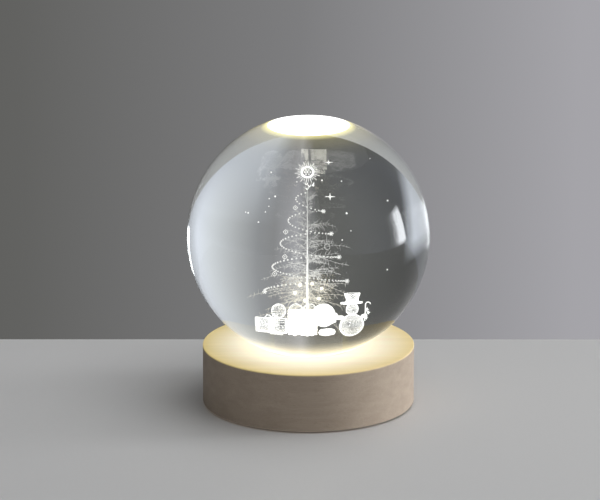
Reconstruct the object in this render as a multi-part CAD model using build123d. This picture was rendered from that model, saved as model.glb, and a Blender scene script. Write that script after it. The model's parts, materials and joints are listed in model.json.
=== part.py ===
"""Crystal ball lamp: a solid glass ball with a Christmas scene engraved inside it, on a round wooden base.

The ball stands by its ground flat in a shallow seat in the wood and lifts off. Light-emitting diodes under
the seat shine up through a frosted window into the glass. Three small cells lie in a tray under the diodes,
behind a hinged door in the underside, and a rocker switch sits in the base's rear wall.

Millimetres. The origin is at the centre of the underside, on the table. +Z is up and -Y is the front.
"""
from build123d import *
import math
import os

# Clearances and the overrun that every cut shares
overrun = 1.0
slip_clear = 0.25        # between pieces that are put together and stay
move_clear = 0.3         # between pieces that move past each other
pin_clear = 0.05         # radial, between a pin and its hole
engraving_clear = 0.05   # between an engraved figure and the glass round it
mark_gap = 0.15          # between two engraved marks

# Glass ball
ball_dia = 80.0
flat_dia = 27.0          # the two ground flats, at the top and at the seat
seat_depth = 0.8

# Heights of the base, from the table up; together they make it 20 mm high
foot_lift = 0.6
chassis_thick = 2.0
cell_dia = 10.5
cell_lift = 0.3          # free height over the cells
tray_roof = 1.0
board_thick = 1.0
reflector_height = 1.2
window_thick = 1.2
seat_ledge = 1.4

# Wooden body
base_wall = 5.0          # round the pocket; with what it holds this makes the base 70 mm across
base_edge_r = 0.35
window_sunk = 0.8        # how far the window goes up into its rebate
window_lap = 1.5         # width of the ring of wood that the ball's flat rests on
window_rebate = 2.0      # width of the step that holds the window

# Cells and their tray
cell_length = 44.5
cell_gap = 0.3
nub_dia = 3.8
nub_length = 0.8
cell_edge_r = 0.5
contact_room = 2.35      # at each end of a cell
tray_wall = 1.0
tray_corner = 2.0
tray_pocket_gap = 0.47

# Sheet metal contacts
contact_thick = 0.4
contact_width = 6.0
contact_touch_gap = 0.2
contact_edge_gap = 0.4
leaf_thick = 0.3
leaf_rise = 3.5
dome_foot_r = 2.6
dome_tip_r = 1.5
tab_width = 2.0
tab_rise = 0.8

# Diode board
board_margin = 1.7       # past the window
diode_count = 6
diode_length = 3.5
diode_width = 2.8
diode_height = 0.65
lens_r = 1.1
lens_rise = 0.15
diode_circle_share = 0.65
resistor_length = 3.2
resistor_width = 1.6
resistor_height = 0.55
peg_r = 0.6
peg_rise = 0.5
reflector_lip = 1.0
reflector_slope = 1.5

# Chassis plate screws
screw_head_r = 1.8
screw_head_height = 1.0
screw_shank_r = 1.0
screw_length = 7.0
screw_edge = 0.35
screw_room = 0.1         # between a screw's boss and the switch
screw_boss_r = 2.7
cross_width = 0.5
cross_depth = 0.6

# Rubber feet
foot_dia = 7.0
foot_sunk = 0.4
foot_edge = 0.8
foot_edge_r = 0.3
foot_room = 2.4          # between a foot and the door's opening

# Battery door
door_thick = 1.6
door_end_room = 0.65
hinge_pin_r = 0.5
hinge_pin_reach = 1.0
latch_width = 12.0
latch_height = 1.4
latch_thick = 1.0
grip_count = 5
grip_length = 12.0
grip_width = 0.6
grip_pitch = 1.4
grip_depth = 0.3
scoop_r = 5.0
scoop_depth = 0.9

# Rocker switch in the rear wall
spot_depth = 1.0
bezel_end_lip = 0.85
bezel_side_lip = 1.1
bezel_thick = 1.5
bezel_edge_r = 0.4
housing_length = 13.3
housing_height = 8.3
housing_depth = 10.0
housing_end_wall = 0.9
housing_side_wall = 0.5
well_depth = 7.0
rocker_end_room = 0.55
rocker_front = 2.4
rocker_dish = 0.9
rocker_back = 1.6
rocker_back_half = 1.6
rocker_shoulder = 0.4
rocker_pin_r = 0.8
rocker_pin_reach = 0.4
rocker_pin_behind = 2.1  # from the bezel's front to the pin's axis
rocker_tilt = 10.0
mark_line = 0.4
mark_height = 2.4
mark_depth = 0.2
mark_ring_r = 1.0
terminal_length = 4.0
terminal_width = 2.8
terminal_thick = 0.5
terminal_spread = 3.6

# Wires
wire_r = 0.55
wire_bend = 1.3
tab_run = 3.9            # straight run of a lead from its tab
lead_room = 2.66         # between the tray and the switch's terminals, over twice a lead's bend
pad_gap = 0.1

# Engraved picture: sizes of the tree, from the ball's centre
tree_x = -0.25
trunk_top = 12.7
trunk_foot = -21.8
trunk_foot_r = 0.36
trunk_top_r = 0.1
garland_top = 8.66       # height of the garland's first turn on the left
garland_turns = 4
garland_pitch = 5.2
garland_first_r = 2.6
garland_spread = 0.311   # how much wider the garland gets for each millimetre down
garland_lead_angle = 100.0
bead_r = 0.2
bead_spacing = 0.95
end_bead_r = 0.5
branches_per_turn = 15
branch_root_r = 0.13
branch_tip_r = 0.05
branch_reach_share = 1.32
branch_droop_share = 0.1
spray_levels = 3         # the sprays between two turns stand at this many heights
spray_margin = 0.4

# Engraved star on the treetop
star_z = 15.5
star_ring_r = 1.3
star_ring_wire_r = 0.16
star_heart_r = 0.26
petal_count = 8
petal_r = 0.17
petal_circle_r = 0.68
ray_count = 32
ray_long = 0.95
ray_short = 0.6
ray_root_r = 0.08
ray_tip_r = 0.04

# Engraved baubles
bauble_ring_r = 0.55
bauble_wire_r = 0.13
bauble_heart_r = 0.2
bauble_drop = 2.1

# Engraved snowman, from the ball's centre
snowman_x = 9.9
snowman_y = -5.0
snowman_foot = -23.0
snow_body_r = 3.0
snow_head_r = 1.45
snow_neck_sink = 0.25
shoulder_share = 0.6
arm_r = 0.5
hand_r = 0.4
button_r = 0.22
button_count = 3
button_step = 15.0
nose_r = 0.2
nose_length = 0.8
brim_r = 2.5
brim_thick = 0.35
crown_foot_r = 1.35
crown_top_r = 1.8
crown_height = 2.1
cane_r = 0.22
cane_height = 4.0
cane_hook_r = 0.6
cane_away = 0.6
berry_shares = [(1, 0.25), (1, 0.5), (-1, 0.75)]   # side of the stick, and how far down it

# Engraved gifts, from the ball's centre
big_gift_x = -1.2
big_gift_y = -5.0
big_gift_foot = -22.1
big_gift_width = 6.8
big_gift_depth = 5.6
big_gift_height = 6.4
long_gift_x = -8.3
long_gift_y = -4.0
long_gift_foot = -21.4
long_gift_width = 6.8
long_gift_depth = 3.6
long_gift_height = 3.5
round_gift_x = 3.55
round_gift_y = 1.2
round_gift_z = -17.2
round_gift_r = 2.55
drum_gift_x = 4.55
drum_gift_y = -6.6
drum_gift_z = -21.4
drum_gift_r = 1.95
drum_gift_height = 1.2
drum_gift_tilt = 22.0
globe_x = -6.2
globe_y = 0.6
globe_z = -16.3
globe_r = 1.5
ribbon_width = 0.9
ribbon_thick = 0.2
bow_ring_r = 0.6
bow_wire_r = 0.16
big_bow_ring_r = 1.0
foot_ball_r = 0.32
foot_ball_pitch = 0.95

# Engraved stars in the sky, as shares of the ball's radius
cross_star_shares = [(0.13, -0.15, 0.54), (0.115, 0.1, 0.19)]
sky_dot_shares = [
    (0.22, -0.08, 0.16), (-0.17, 0.18, 0.16), (-0.22, 0.0, 0.39), (-0.3, -0.15, 0.13),
    (-0.32, 0.1, 0.1), (-0.37, -0.08, 0.17), (-0.24, 0.0, 0.14), (-0.24, -0.15, 0.23),
    (-0.21, 0.1, 0.18), (-0.07, -0.08, 0.36), (0.07, 0.18, 0.25), (0.19, 0.0, 0.33),
    (0.2, -0.19, 0.03), (0.22, 0.1, 0.0), (0.41, -0.08, 0.56), (0.41, 0.18, 0.14),
    (0.43, 0.0, -0.19)]
sky_dot_r = 0.24
cross_star_r = 0.3
cross_star_reach = 0.85

# Sizes that follow
ball_r = ball_dia / 2
flat_r = flat_dia / 2
flat_rise = math.sqrt(ball_r ** 2 - flat_r ** 2)
wood_foot = foot_lift
plate_top = wood_foot + chassis_thick
cell_r = cell_dia / 2
cell_z = plate_top + cell_r
roof_z = plate_top + cell_dia + cell_lift
roof_top = roof_z + tray_roof
board_top = roof_top + board_thick
window_foot = board_top + reflector_height
window_top = window_foot + window_thick
seat_z = window_top + seat_ledge
base_top = seat_z + seat_depth
ball_z = seat_z + flat_rise
pocket_top = window_top - window_sunk

cell_pitch = cell_dia + cell_gap
tray_half_x = cell_length / 2 + contact_room
tray_half_y = cell_pitch + cell_r + slip_clear
tray_out_x = tray_half_x + tray_wall
tray_out_y = tray_half_y + tray_wall
corner_wall = tray_wall * (2 - math.sqrt(2))
tray_out_corner = tray_corner + corner_wall
tray_reach = max(math.hypot(tray_out_x, tray_out_y - tray_out_corner),
                 math.hypot(tray_out_x - tray_out_corner, tray_out_y))
pocket_r = tray_reach + tray_pocket_gap
base_r = max(pocket_r + base_wall, tray_out_y + lead_room + terminal_length + housing_depth + spot_depth)
recess_r = (pocket_r + base_r) / 2
plate_r = recess_r - slip_clear

hole_r = flat_r - window_lap
window_r = hole_r + window_rebate - slip_clear
board_r = window_r + board_margin
reflector_r = window_r - reflector_lip
peg_circle_r = (reflector_r + board_r) / 2

door_half_x = cell_length / 2 + door_end_room
door_half_y = tray_half_y - move_clear
opening_half_x = door_half_x + move_clear
opening_half_y = door_half_y + move_clear
hinge_r = door_thick / 2
hinge_y = door_half_y - hinge_r
hinge_z = wood_foot + hinge_r

foot_y = opening_half_y + foot_room + foot_dia / 2
foot_x = math.sqrt((plate_r - foot_dia / 2 - foot_edge) ** 2 - foot_y ** 2)
screw_x = housing_length / 2 + slip_clear + screw_room + screw_boss_r
screw_y = math.sqrt((plate_r - screw_head_r - screw_edge) ** 2 - screw_x ** 2)

spot_y = base_r - spot_depth
bezel_front_y = spot_y + bezel_thick
housing_back_y = spot_y - housing_depth
terminal_end_y = housing_back_y - terminal_length
switch_z = base_top / 2
rocker_y = bezel_front_y - rocker_pin_behind
well_half_x = housing_length / 2 - housing_end_wall
well_height = housing_height - 2 * housing_side_wall
rocker_height = well_height - 2 * move_clear
rocker_half = well_half_x - rocker_end_room
bezel_length = housing_length + 2 * bezel_end_lip
bezel_height = housing_height + 2 * bezel_side_lip
wire_level = board_top + pad_gap + wire_r

snow_body_z = snowman_foot + snow_body_r
snow_head_z = snow_body_z + snow_body_r + snow_head_r - snow_neck_sink
brim_z = snow_head_z + snow_head_r
big_gift_at = (big_gift_x, big_gift_y, big_gift_foot)
big_gift_size = (big_gift_width, big_gift_depth, big_gift_height)
long_gift_at = (long_gift_x, long_gift_y, long_gift_foot)
long_gift_size = (long_gift_width, long_gift_depth, long_gift_height)

UP = (Align.CENTER, Align.CENTER, Align.MIN)
IN = (Align.CENTER, Align.MAX, Align.CENTER)


def dot(at, radius, grow=0):
    """A round mark."""
    return Pos(*at) * Sphere(radius + grow)


def rod(start, end, start_r, end_r, grow=0):
    """A tapered mark from one point to another."""
    line = Vector(*end) - Vector(*start)
    along = line.normalized()
    plane = Plane(origin=Vector(*start) - along * grow, z_dir=along)
    return plane * Cone(start_r + grow, end_r + grow, line.length + 2 * grow, align=UP)


def hoop(at, radius, wire, facing=(0, 1, 0), grow=0):
    """A ring that faces along a direction."""
    return Plane(origin=at, z_dir=facing) * Torus(radius, wire + grow)


def block(at, size, grow=0):
    """A box mark, given by the centre of its foot."""
    x, y, z = (side + 2 * grow for side in size)
    return Pos(at[0], at[1], at[2] - grow) * Box(x, y, z, align=UP)


def drum(at, radius, height, tilt=0, grow=0):
    """A short round box, given by its centre."""
    return Pos(*at) * Rot(tilt, 0, 0) * Cylinder(radius + grow, height + 2 * grow)


def trunk_radius(z):
    """The trunk's radius at a height."""
    share = (z - trunk_foot) / (trunk_top - trunk_foot)
    return trunk_foot_r + (trunk_top_r - trunk_foot_r) * share


def garland_height(angle):
    """Height of the garland at an angle in degrees, where 180 is the first turn on the left."""
    return garland_top - garland_pitch * (angle - 180) / 360


def garland_radius(z):
    """Distance of the garland from the trunk's axis at a height."""
    return garland_first_r + garland_spread * (garland_top - z)


def round_trunk(angle, radius, z):
    """A point at an angle in degrees and a distance from the trunk's axis."""
    turn = math.radians(angle)
    return (tree_x + radius * math.cos(turn), radius * math.sin(turn), z)


def tree_trunk(grow=0):
    return [rod((tree_x, 0, trunk_foot), (tree_x, 0, trunk_top), trunk_foot_r, trunk_top_r, grow)]


def tree_branches(grow=0):
    """Straight sprays that pass halfway between the turns of the garland."""
    marks = []
    step = 360 / branches_per_turn
    for count in range(-branches_per_turn, branches_per_turn * garland_turns):
        angle = 180 + count * step
        level = (count % spray_levels + 1) / (spray_levels + 1)
        z = garland_height(angle) - spray_margin - level * (garland_pitch - 2 * spray_margin)
        reach = garland_radius(z) * branch_reach_share
        droop = reach * branch_droop_share
        root = round_trunk(angle, trunk_radius(z) + branch_root_r + mark_gap, z + droop)
        tip = round_trunk(angle, reach, z - droop)
        marks.append(rod(root, tip, branch_root_r, branch_tip_r, grow))
    return marks


def bead_garland(grow=0):
    """Beads evenly spaced along a cone's helix, with a larger bead where each turn reaches the right."""
    marks = []
    angle = garland_lead_angle
    last = 180 + 360 * garland_turns
    next_right = 360
    while angle < last:
        z = garland_height(angle)
        radius = garland_radius(z)
        large = angle >= next_right
        if large:
            next_right += 360
        marks.append(dot(round_trunk(angle, radius, z), end_bead_r if large else bead_r, grow))
        room = bead_spacing + (end_bead_r - bead_r if large else 0)
        angle += math.degrees(room / radius)
    marks.append(dot(round_trunk(angle, garland_radius(garland_height(angle)), garland_height(angle)),
                     end_bead_r, grow))
    return marks


def star_topper(grow=0):
    """A ring with a flower inside and rays outside, facing the front and the back."""
    centre = (tree_x, 0, star_z)
    marks = [hoop(centre, star_ring_r, star_ring_wire_r, grow=grow), dot(centre, star_heart_r, grow)]
    for count in range(petal_count):
        turn = 2 * math.pi * count / petal_count
        marks.append(dot((tree_x + petal_circle_r * math.cos(turn), 0,
                          star_z + petal_circle_r * math.sin(turn)), petal_r, grow))
    ray_start = star_ring_r + star_ring_wire_r + mark_gap
    for count in range(ray_count):
        turn = math.pi * (2 * count + 1) / ray_count
        out = (math.cos(turn), 0, math.sin(turn))
        ray_end = ray_start + (ray_short if count % 2 else ray_long)
        start = Vector(*centre) + Vector(*out) * ray_start
        end = Vector(*centre) + Vector(*out) * ray_end
        marks.append(rod(tuple(start), tuple(end), ray_root_r, ray_tip_r, grow))
    return marks


def baubles(grow=0):
    """Ring baubles that hang under the garland on the left and on the right."""
    marks = []
    for turn in range(garland_turns):
        for angle in (180 + 360 * turn, 360 + 360 * turn):
            z = garland_height(angle) - bauble_drop
            place = round_trunk(angle, garland_radius(z), z)
            marks.append(hoop(place, bauble_ring_r, bauble_wire_r, grow=grow))
            marks.append(dot(place, bauble_heart_r, grow))
    return marks


def snowman(grow=0):
    """Body, head and two arms in one, with three buttons and a nose in front."""
    body = dot((snowman_x, snowman_y, snow_body_z), snow_body_r, grow)
    body += dot((snowman_x, snowman_y, snow_head_z), snow_head_r, grow)
    shoulder_z = snow_body_z + snow_body_r * shoulder_share
    for side in (-1, 1):
        shoulder = (snowman_x + side * snow_body_r * shoulder_share, snowman_y, shoulder_z)
        hand = (snowman_x + side * snow_body_r, snowman_y, shoulder_z + arm_r)
        body += rod(shoulder, hand, arm_r, hand_r, grow)
    marks = [body]
    for count in range(button_count):
        tilt = math.radians(button_step * count)
        away = snow_body_r + button_r + mark_gap
        place = (snowman_x, snowman_y - away * math.cos(tilt), snow_body_z + away * math.sin(tilt))
        marks.append(dot(place, button_r, grow))
    nose_start = snowman_y - snow_head_r - mark_gap
    nose_end = nose_start - nose_length
    marks.append(rod((snowman_x, nose_start, snow_head_z), (snowman_x, nose_end, snow_head_z),
                     nose_r, nose_r / 2, grow))
    return marks


def snowman_hat(grow=0):
    middle = brim_z + mark_gap + brim_thick / 2
    top = middle + brim_thick / 2 + crown_height
    hat = drum((snowman_x, snowman_y, middle), brim_r, brim_thick, grow=grow)
    hat += rod((snowman_x, snowman_y, middle), (snowman_x, snowman_y, top), crown_foot_r, crown_top_r, grow)
    return [hat]


def candy_cane(grow=0):
    """A hooked stick in front of the snowman's hand, with three small berries beside it."""
    x = snowman_x + snow_body_r + cane_away
    top = brim_z - cane_hook_r
    foot = (x, snowman_y, top - cane_height - grow)
    hook_plane = Plane(origin=(x + cane_hook_r, snowman_y, top), x_dir=(-1, 0, 0), z_dir=(0, 1, 0))
    hook_span = 180 + math.degrees(grow / cane_hook_r)
    line = Line(foot, (x, snowman_y, top)) + hook_plane * CenterArc((0, 0), cane_hook_r, 0, hook_span)
    marks = [sweep(Pos(*foot) * Circle(cane_r + grow), path=line)]
    for side, share in berry_shares:
        place = (x + side * (cane_r + button_r + mark_gap), snowman_y, top - cane_height * share)
        marks.append(dot(place, button_r, grow))
    return marks


def gifts(grow=0):
    """A large box, a long box, a round parcel, a drum and a globe."""
    return [
        block(big_gift_at, big_gift_size, grow),
        block(long_gift_at, long_gift_size, grow),
        dot((round_gift_x, round_gift_y, round_gift_z), round_gift_r, grow),
        drum((drum_gift_x, drum_gift_y, drum_gift_z), drum_gift_r, drum_gift_height, drum_gift_tilt, grow),
        dot((globe_x, globe_y, globe_z), globe_r, grow)]


def ribbon(at, size, grow):
    """A band up the front, over the top and down the back of a box."""
    thick = ribbon_thick + mark_gap
    band = block(at, (ribbon_width, size[1] + 2 * thick, size[2] + thick), grow)
    return band - block(at, size, mark_gap - grow)


def gift_ribbons(grow=0):
    """Bands on both boxes, their bows, and a row of small balls at the foot of the large box."""
    marks = [ribbon(big_gift_at, big_gift_size, grow), ribbon(long_gift_at, long_gift_size, grow)]
    above = ribbon_thick + 2 * mark_gap
    big_bow_z = big_gift_foot + big_gift_height + above + big_bow_ring_r + bow_wire_r
    long_bow_z = long_gift_foot + long_gift_height + above + bow_ring_r + bow_wire_r
    for side in (-1, 1):
        big_x = big_gift_x + side * (big_bow_ring_r + 2 * bow_wire_r)
        long_x = long_gift_x + side * (bow_ring_r + 2 * bow_wire_r)
        marks.append(hoop((big_x, big_gift_y, big_bow_z), big_bow_ring_r, bow_wire_r, grow=grow))
        marks.append(hoop((long_x, long_gift_y, long_bow_z), bow_ring_r, bow_wire_r, grow=grow))
    front = big_gift_y - big_gift_depth / 2 - foot_ball_r - ribbon_thick - 2 * mark_gap
    count = int(big_gift_width / foot_ball_pitch)
    for number in range(count):
        x = big_gift_x + (number - (count - 1) / 2) * foot_ball_pitch
        marks.append(dot((x, front, big_gift_foot + foot_ball_r), foot_ball_r, grow))
    return marks


def sky_stars(grow=0):
    """Loose round stars, and two with four points each."""
    marks = []
    for share in sky_dot_shares:
        marks.append(dot([ball_r * part for part in share], sky_dot_r, grow))
    for share in cross_star_shares:
        at = Vector(*(ball_r * part for part in share))
        star = dot(tuple(at), cross_star_r, grow)
        for x, z in ((1, 0), (-1, 0), (0, 1), (0, -1)):
            tip = at + Vector(x, 0, z) * cross_star_reach
            star += rod(tuple(at), tuple(tip), cross_star_r / 2, ray_tip_r, grow)
        marks.append(star)
    return marks


def reach_of(mark):
    """A mark's lowest and highest corners."""
    box = mark.bounding_box()
    return tuple(box.min), tuple(box.max)


def near(one, other):
    """True where two boxes meet."""
    return all(low <= top and foot <= high for low, high, foot, top in zip(*one, *other))


def picture():
    """Each engraved node's marks and the cavities that they fill, from the ball's centre.

    A mark that would run into one made before it is left out.
    """
    made = {}
    cavities = []
    makers = (snowman, snowman_hat, candy_cane, gifts, gift_ribbons, tree_trunk, star_topper, bead_garland,
              baubles, tree_branches, sky_stars)
    for maker in makers:
        kept = []
        rooms = []
        for mark, room in zip(maker(), maker(engraving_clear)):
            reach = reach_of(room)
            touched = [other for other, other_reach in cavities if near(reach, other_reach)]
            if any(room.distance_to(other) < engraving_clear / 2 for other in touched):
                continue
            kept.append(mark)
            rooms.append((room, reach))
        made[maker.__name__] = kept
        cavities += rooms
    return made, [room for room, reach in cavities]


def crystal_ball(cavities):
    """The glass between its two ground flats, with room for every engraved mark."""
    ball = Sphere(ball_r) & Cylinder(ball_r, 2 * flat_rise)
    return Pos(0, 0, ball_z) * ball.cut(*cavities)


def tray_outline(half_x, half_y, corner):
    """A rectangle with its corners cut off."""
    points = [(half_x - corner, half_y), (half_x, half_y - corner)]
    points += [(x, -y) for x, y in reversed(points)]
    points += [(-x, -y) for x, y in points]
    return make_face(Polyline(*points, close=True))


def disc(radius, foot, top):
    """A round plate between two heights."""
    return Pos(0, 0, foot) * Cylinder(radius, top - foot, align=UP)


def cone_disc(foot_radius, top_radius, foot, top):
    """A tapered plate between two heights."""
    return Pos(0, 0, foot) * Cone(foot_radius, top_radius, top - foot, align=UP)


def four_places(x, y):
    """Four points, one in each quarter."""
    return [(x, y), (-x, y), (-x, -y), (x, -y)]


def switch_block(length, height, front, back, clear=0):
    """A box of the switch between two places along Y, at the switch's height."""
    return Pos(0, front, switch_z) * Box(length + 2 * clear, front - back, height + 2 * clear, align=IN)


def wood_base():
    """The turned body: a pocket from below, a seat from above and a slot for the switch behind."""
    body = disc(base_r, wood_foot, base_top)
    body = fillet(body.edges().filter_by(GeomType.CIRCLE), base_edge_r)
    pocket = disc(pocket_r, wood_foot - overrun, pocket_top)
    for x, y in four_places(screw_x, screw_y):
        pocket -= Pos(x, y, 0) * disc(screw_boss_r, wood_foot - 2 * overrun, pocket_top + overrun)
    body -= pocket
    body -= disc(recess_r, wood_foot - overrun, plate_top)
    body -= disc(window_r + slip_clear, pocket_top - overrun, window_top)
    body -= disc(hole_r, pocket_top, base_top + overrun)
    seat_r = math.sqrt(ball_r ** 2 - (flat_rise - seat_depth) ** 2)
    body -= disc(seat_r + slip_clear, seat_z, base_top + overrun)
    slot_back_y = housing_back_y - overrun
    body -= switch_block(housing_length, housing_height, base_r + overrun, slot_back_y, slip_clear)
    body -= switch_block(2 * base_r, bezel_height, base_r + overrun, spot_y, slip_clear)
    for x, y in four_places(screw_x, screw_y):
        hole_top = wood_foot + screw_length + slip_clear
        body -= Pos(x, y, 0) * disc(screw_shank_r, wood_foot, hole_top)
    return body


def light_window():
    return disc(window_r, window_foot, window_top)


def reflector_ring():
    """A white ring that sends the light up and presses the board onto the tray."""
    inner = reflector_r - reflector_lip
    ring = disc(reflector_r, board_top, window_foot)
    return ring - cone_disc(inner - reflector_slope, inner, board_top, window_foot)


def peg_places():
    return [(-peg_circle_r, 0), (peg_circle_r, 0)]


def diode_board():
    board = disc(board_r, roof_top, board_top)
    for x, y in peg_places():
        board -= Pos(x, y, 0) * disc(peg_r + slip_clear / 2, roof_top - overrun, board_top + overrun)
    return board


def diodes():
    """Flat diodes in a ring, each with a raised lens."""
    chips = []
    circle_r = (reflector_r - reflector_lip - reflector_slope) * diode_circle_share
    for number in range(diode_count):
        body = Box(diode_length, diode_width, diode_height, align=UP)
        lens = Pos(0, 0, diode_height) * Cylinder(lens_r, lens_rise, align=UP)
        place = Pos(0, 0, board_top) * Rot(0, 0, 360 * number / diode_count) * Pos(circle_r, 0, 0)
        chips.append(place * (body + lens))
    return chips


def resistor():
    return Pos(0, 0, board_top) * Box(resistor_length, resistor_width, resistor_height, align=UP)


def battery_tray():
    """The plate that closes the base, with the cells' walls and roof moulded on it."""
    tray = disc(plate_r, wood_foot, plate_top)
    outer = Pos(0, 0, plate_top) * tray_outline(tray_out_x, tray_out_y, tray_out_corner)
    inner = Pos(0, 0, plate_top) * tray_outline(tray_half_x, tray_half_y, tray_corner)
    tray += extrude(outer, roof_top - plate_top)
    tray -= extrude(inner, roof_z - plate_top)
    tray -= Pos(0, 0, wood_foot - overrun) * Box(2 * opening_half_x, 2 * opening_half_y,
                                                 chassis_thick + 2 * overrun, align=UP)
    for side in (-1, 1):
        pin_end = opening_half_x + hinge_pin_reach
        hole = Rot(0, 90, 0) * Cylinder(hinge_pin_r + pin_clear, pin_end)
        tray -= Pos(side * pin_end / 2, hinge_y, hinge_z) * hole
    for x, y in four_places(screw_x, screw_y):
        tray -= Pos(x, y, 0) * disc(screw_shank_r + slip_clear, wood_foot - overrun, plate_top + overrun)
        tray -= Pos(x, y, 0) * cone_disc(screw_head_r + slip_clear, screw_shank_r + slip_clear,
                                         wood_foot, wood_foot + screw_head_height)
    for x, y in four_places(foot_x, foot_y):
        tray -= Pos(x, y, 0) * disc(foot_dia / 2 + slip_clear, wood_foot - overrun, wood_foot + foot_sunk)
    for x, y in peg_places():
        tray += Pos(x, y, 0) * disc(peg_r, roof_top, board_top + peg_rise)
    for side in (-1, 1):
        tray -= tab_slot(side)
    scoop = Pos(0, -opening_half_y, wood_foot) * Cylinder(scoop_r, 2 * scoop_depth)
    return tray - scoop


def tab_slot(side):
    """The slot in the roof that a contact's solder tab passes through."""
    x = side * (tray_half_x - contact_thick / 2)
    return Pos(x, side * cell_pitch, roof_z - overrun) * Box(
        contact_thick + slip_clear, tab_width + 2 * slip_clear, tray_roof + 2 * overrun, align=UP)


def cell(number):
    """One cell: a can with rounded ends and a nub, whose ends alternate from cell to cell."""
    can_length = cell_length - nub_length
    can = Rot(0, 90, 0) * Cylinder(cell_r, can_length)
    can = fillet(can.edges().filter_by(GeomType.CIRCLE), cell_edge_r)
    nub = Pos(can_length / 2, 0, 0) * Rot(0, 90, 0) * Cylinder(nub_dia / 2, nub_length, align=UP)
    turn = 180 if number % 2 else 0
    whole = Pos(-nub_length / 2, 0, 0) * (can + nub)
    return Pos(0, (number - 1) * cell_pitch, cell_z) * Rot(0, 0, turn) * whole


def contact_plate(side, low_cell, high_cell):
    """A plate on one end wall that spans one cell or two."""
    low = (low_cell - 1) * cell_pitch - contact_width / 2
    high = (high_cell - 1) * cell_pitch + contact_width / 2
    x = side * (tray_half_x - contact_thick / 2)
    height = cell_dia - 2 * contact_edge_gap
    return Pos(x, (low + high) / 2, cell_z) * Box(contact_thick, high - low, height)


def leaf(side, number):
    """A bent leaf that presses on a cell's flat end."""
    root = tray_half_x - contact_thick
    nose = cell_length / 2 + contact_touch_gap
    inner_rise = leaf_rise - 2 * leaf_thick
    profile = [(root, -leaf_rise), (nose, 0), (root, leaf_rise),
               (root, inner_rise), (nose + 2 * leaf_thick, 0), (root, -inner_rise)]
    face = make_face(Polyline(*[(side * x, z) for x, z in profile], close=True))
    width = contact_width - 2 * contact_edge_gap
    strip = extrude(Plane.XZ * face, width / 2, both=True)
    return Pos(0, (number - 1) * cell_pitch, cell_z) * strip


def dome(side, number):
    """A pressed dome that meets a cell's nub."""
    root = tray_half_x - contact_thick
    nose = cell_length / 2 + contact_touch_gap
    cone = Cone(dome_foot_r, dome_tip_r, root - nose, align=UP)
    return Pos(side * root, (number - 1) * cell_pitch, cell_z) * Rot(0, -side * 90, 0) * cone


def tab(side):
    """A solder tab that rises from a contact through the roof."""
    x = side * (tray_half_x - contact_thick / 2)
    foot = cell_z + cell_r - contact_edge_gap
    top = wire_level + tab_rise
    return Pos(x, side * cell_pitch, foot) * Box(contact_thick, tab_width, top - foot, align=UP)


def contact_negative():
    return contact_plate(-1, 0, 0) + leaf(-1, 0) + tab(-1)


def contact_positive():
    return contact_plate(1, 2, 2) + dome(1, 2) + tab(1)


def contact_bridge_left():
    return contact_plate(-1, 1, 2) + dome(-1, 1) + leaf(-1, 2)


def contact_bridge_right():
    return contact_plate(1, 0, 1) + dome(1, 0) + leaf(1, 1)


def battery_door():
    """A plate with a rolled rear edge on two pins, a latch tongue and grip grooves in front."""
    length = 2 * door_half_x
    reach = hinge_y + door_half_y
    door = Pos(0, hinge_y - reach / 2, wood_foot) * Box(length, reach, door_thick, align=UP)
    door += Pos(0, hinge_y, hinge_z) * Rot(0, 90, 0) * Cylinder(hinge_r, length)
    pin_length = length + 2 * (move_clear + hinge_pin_reach - pin_clear)
    door += Pos(0, hinge_y, hinge_z) * Rot(0, 90, 0) * Cylinder(hinge_pin_r, pin_length)
    tongue_y = -door_half_y + latch_thick / 2
    door += Pos(0, tongue_y, wood_foot + door_thick) * Box(latch_width, latch_thick, latch_height, align=UP)
    for number in range(grip_count):
        y = -door_half_y + scoop_r + number * grip_pitch
        door -= Pos(0, y, wood_foot) * Box(grip_length, grip_width, 2 * grip_depth)
    return door


def rubber_feet():
    feet = []
    for x, y in four_places(foot_x, foot_y):
        foot = disc(foot_dia / 2, 0, wood_foot + foot_sunk)
        foot = fillet(foot.edges().filter_by(GeomType.CIRCLE).sort_by(Axis.Z)[0], foot_edge_r)
        feet.append(Pos(x, y, 0) * foot)
    return feet


def chassis_screws():
    """Countersunk screws with a cross recess, up into the wood."""
    screws = []
    for x, y in four_places(screw_x, screw_y):
        head_foot = wood_foot + slip_clear / 2
        screw = cone_disc(screw_head_r, screw_shank_r, head_foot, head_foot + screw_head_height)
        screw += disc(screw_shank_r, head_foot + screw_head_height, wood_foot + screw_length)
        slot = Pos(0, 0, head_foot) * Box(2 * screw_shank_r, cross_width, 2 * cross_depth)
        screw -= slot
        screw -= Rot(0, 0, 90) * slot
        screws.append(Pos(x, y, 0) * screw)
    return screws


def switch_housing():
    """The switch's case with its bezel, a well for the rocker and holes for the rocker's pin."""
    bezel = switch_block(bezel_length, bezel_height, bezel_front_y, spot_y)
    front = bezel.faces().sort_by(Axis.Y)[-1]
    bezel = fillet(front.edges(), bezel_edge_r)
    case = bezel + switch_block(housing_length, housing_height, spot_y, housing_back_y)
    case -= switch_block(2 * well_half_x, well_height, bezel_front_y + overrun, bezel_front_y - well_depth)
    hole_height = well_height + 2 * (rocker_pin_reach + pin_clear)
    return case - Pos(0, rocker_y, switch_z) * Cylinder(rocker_pin_r + pin_clear, hole_height)


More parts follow.
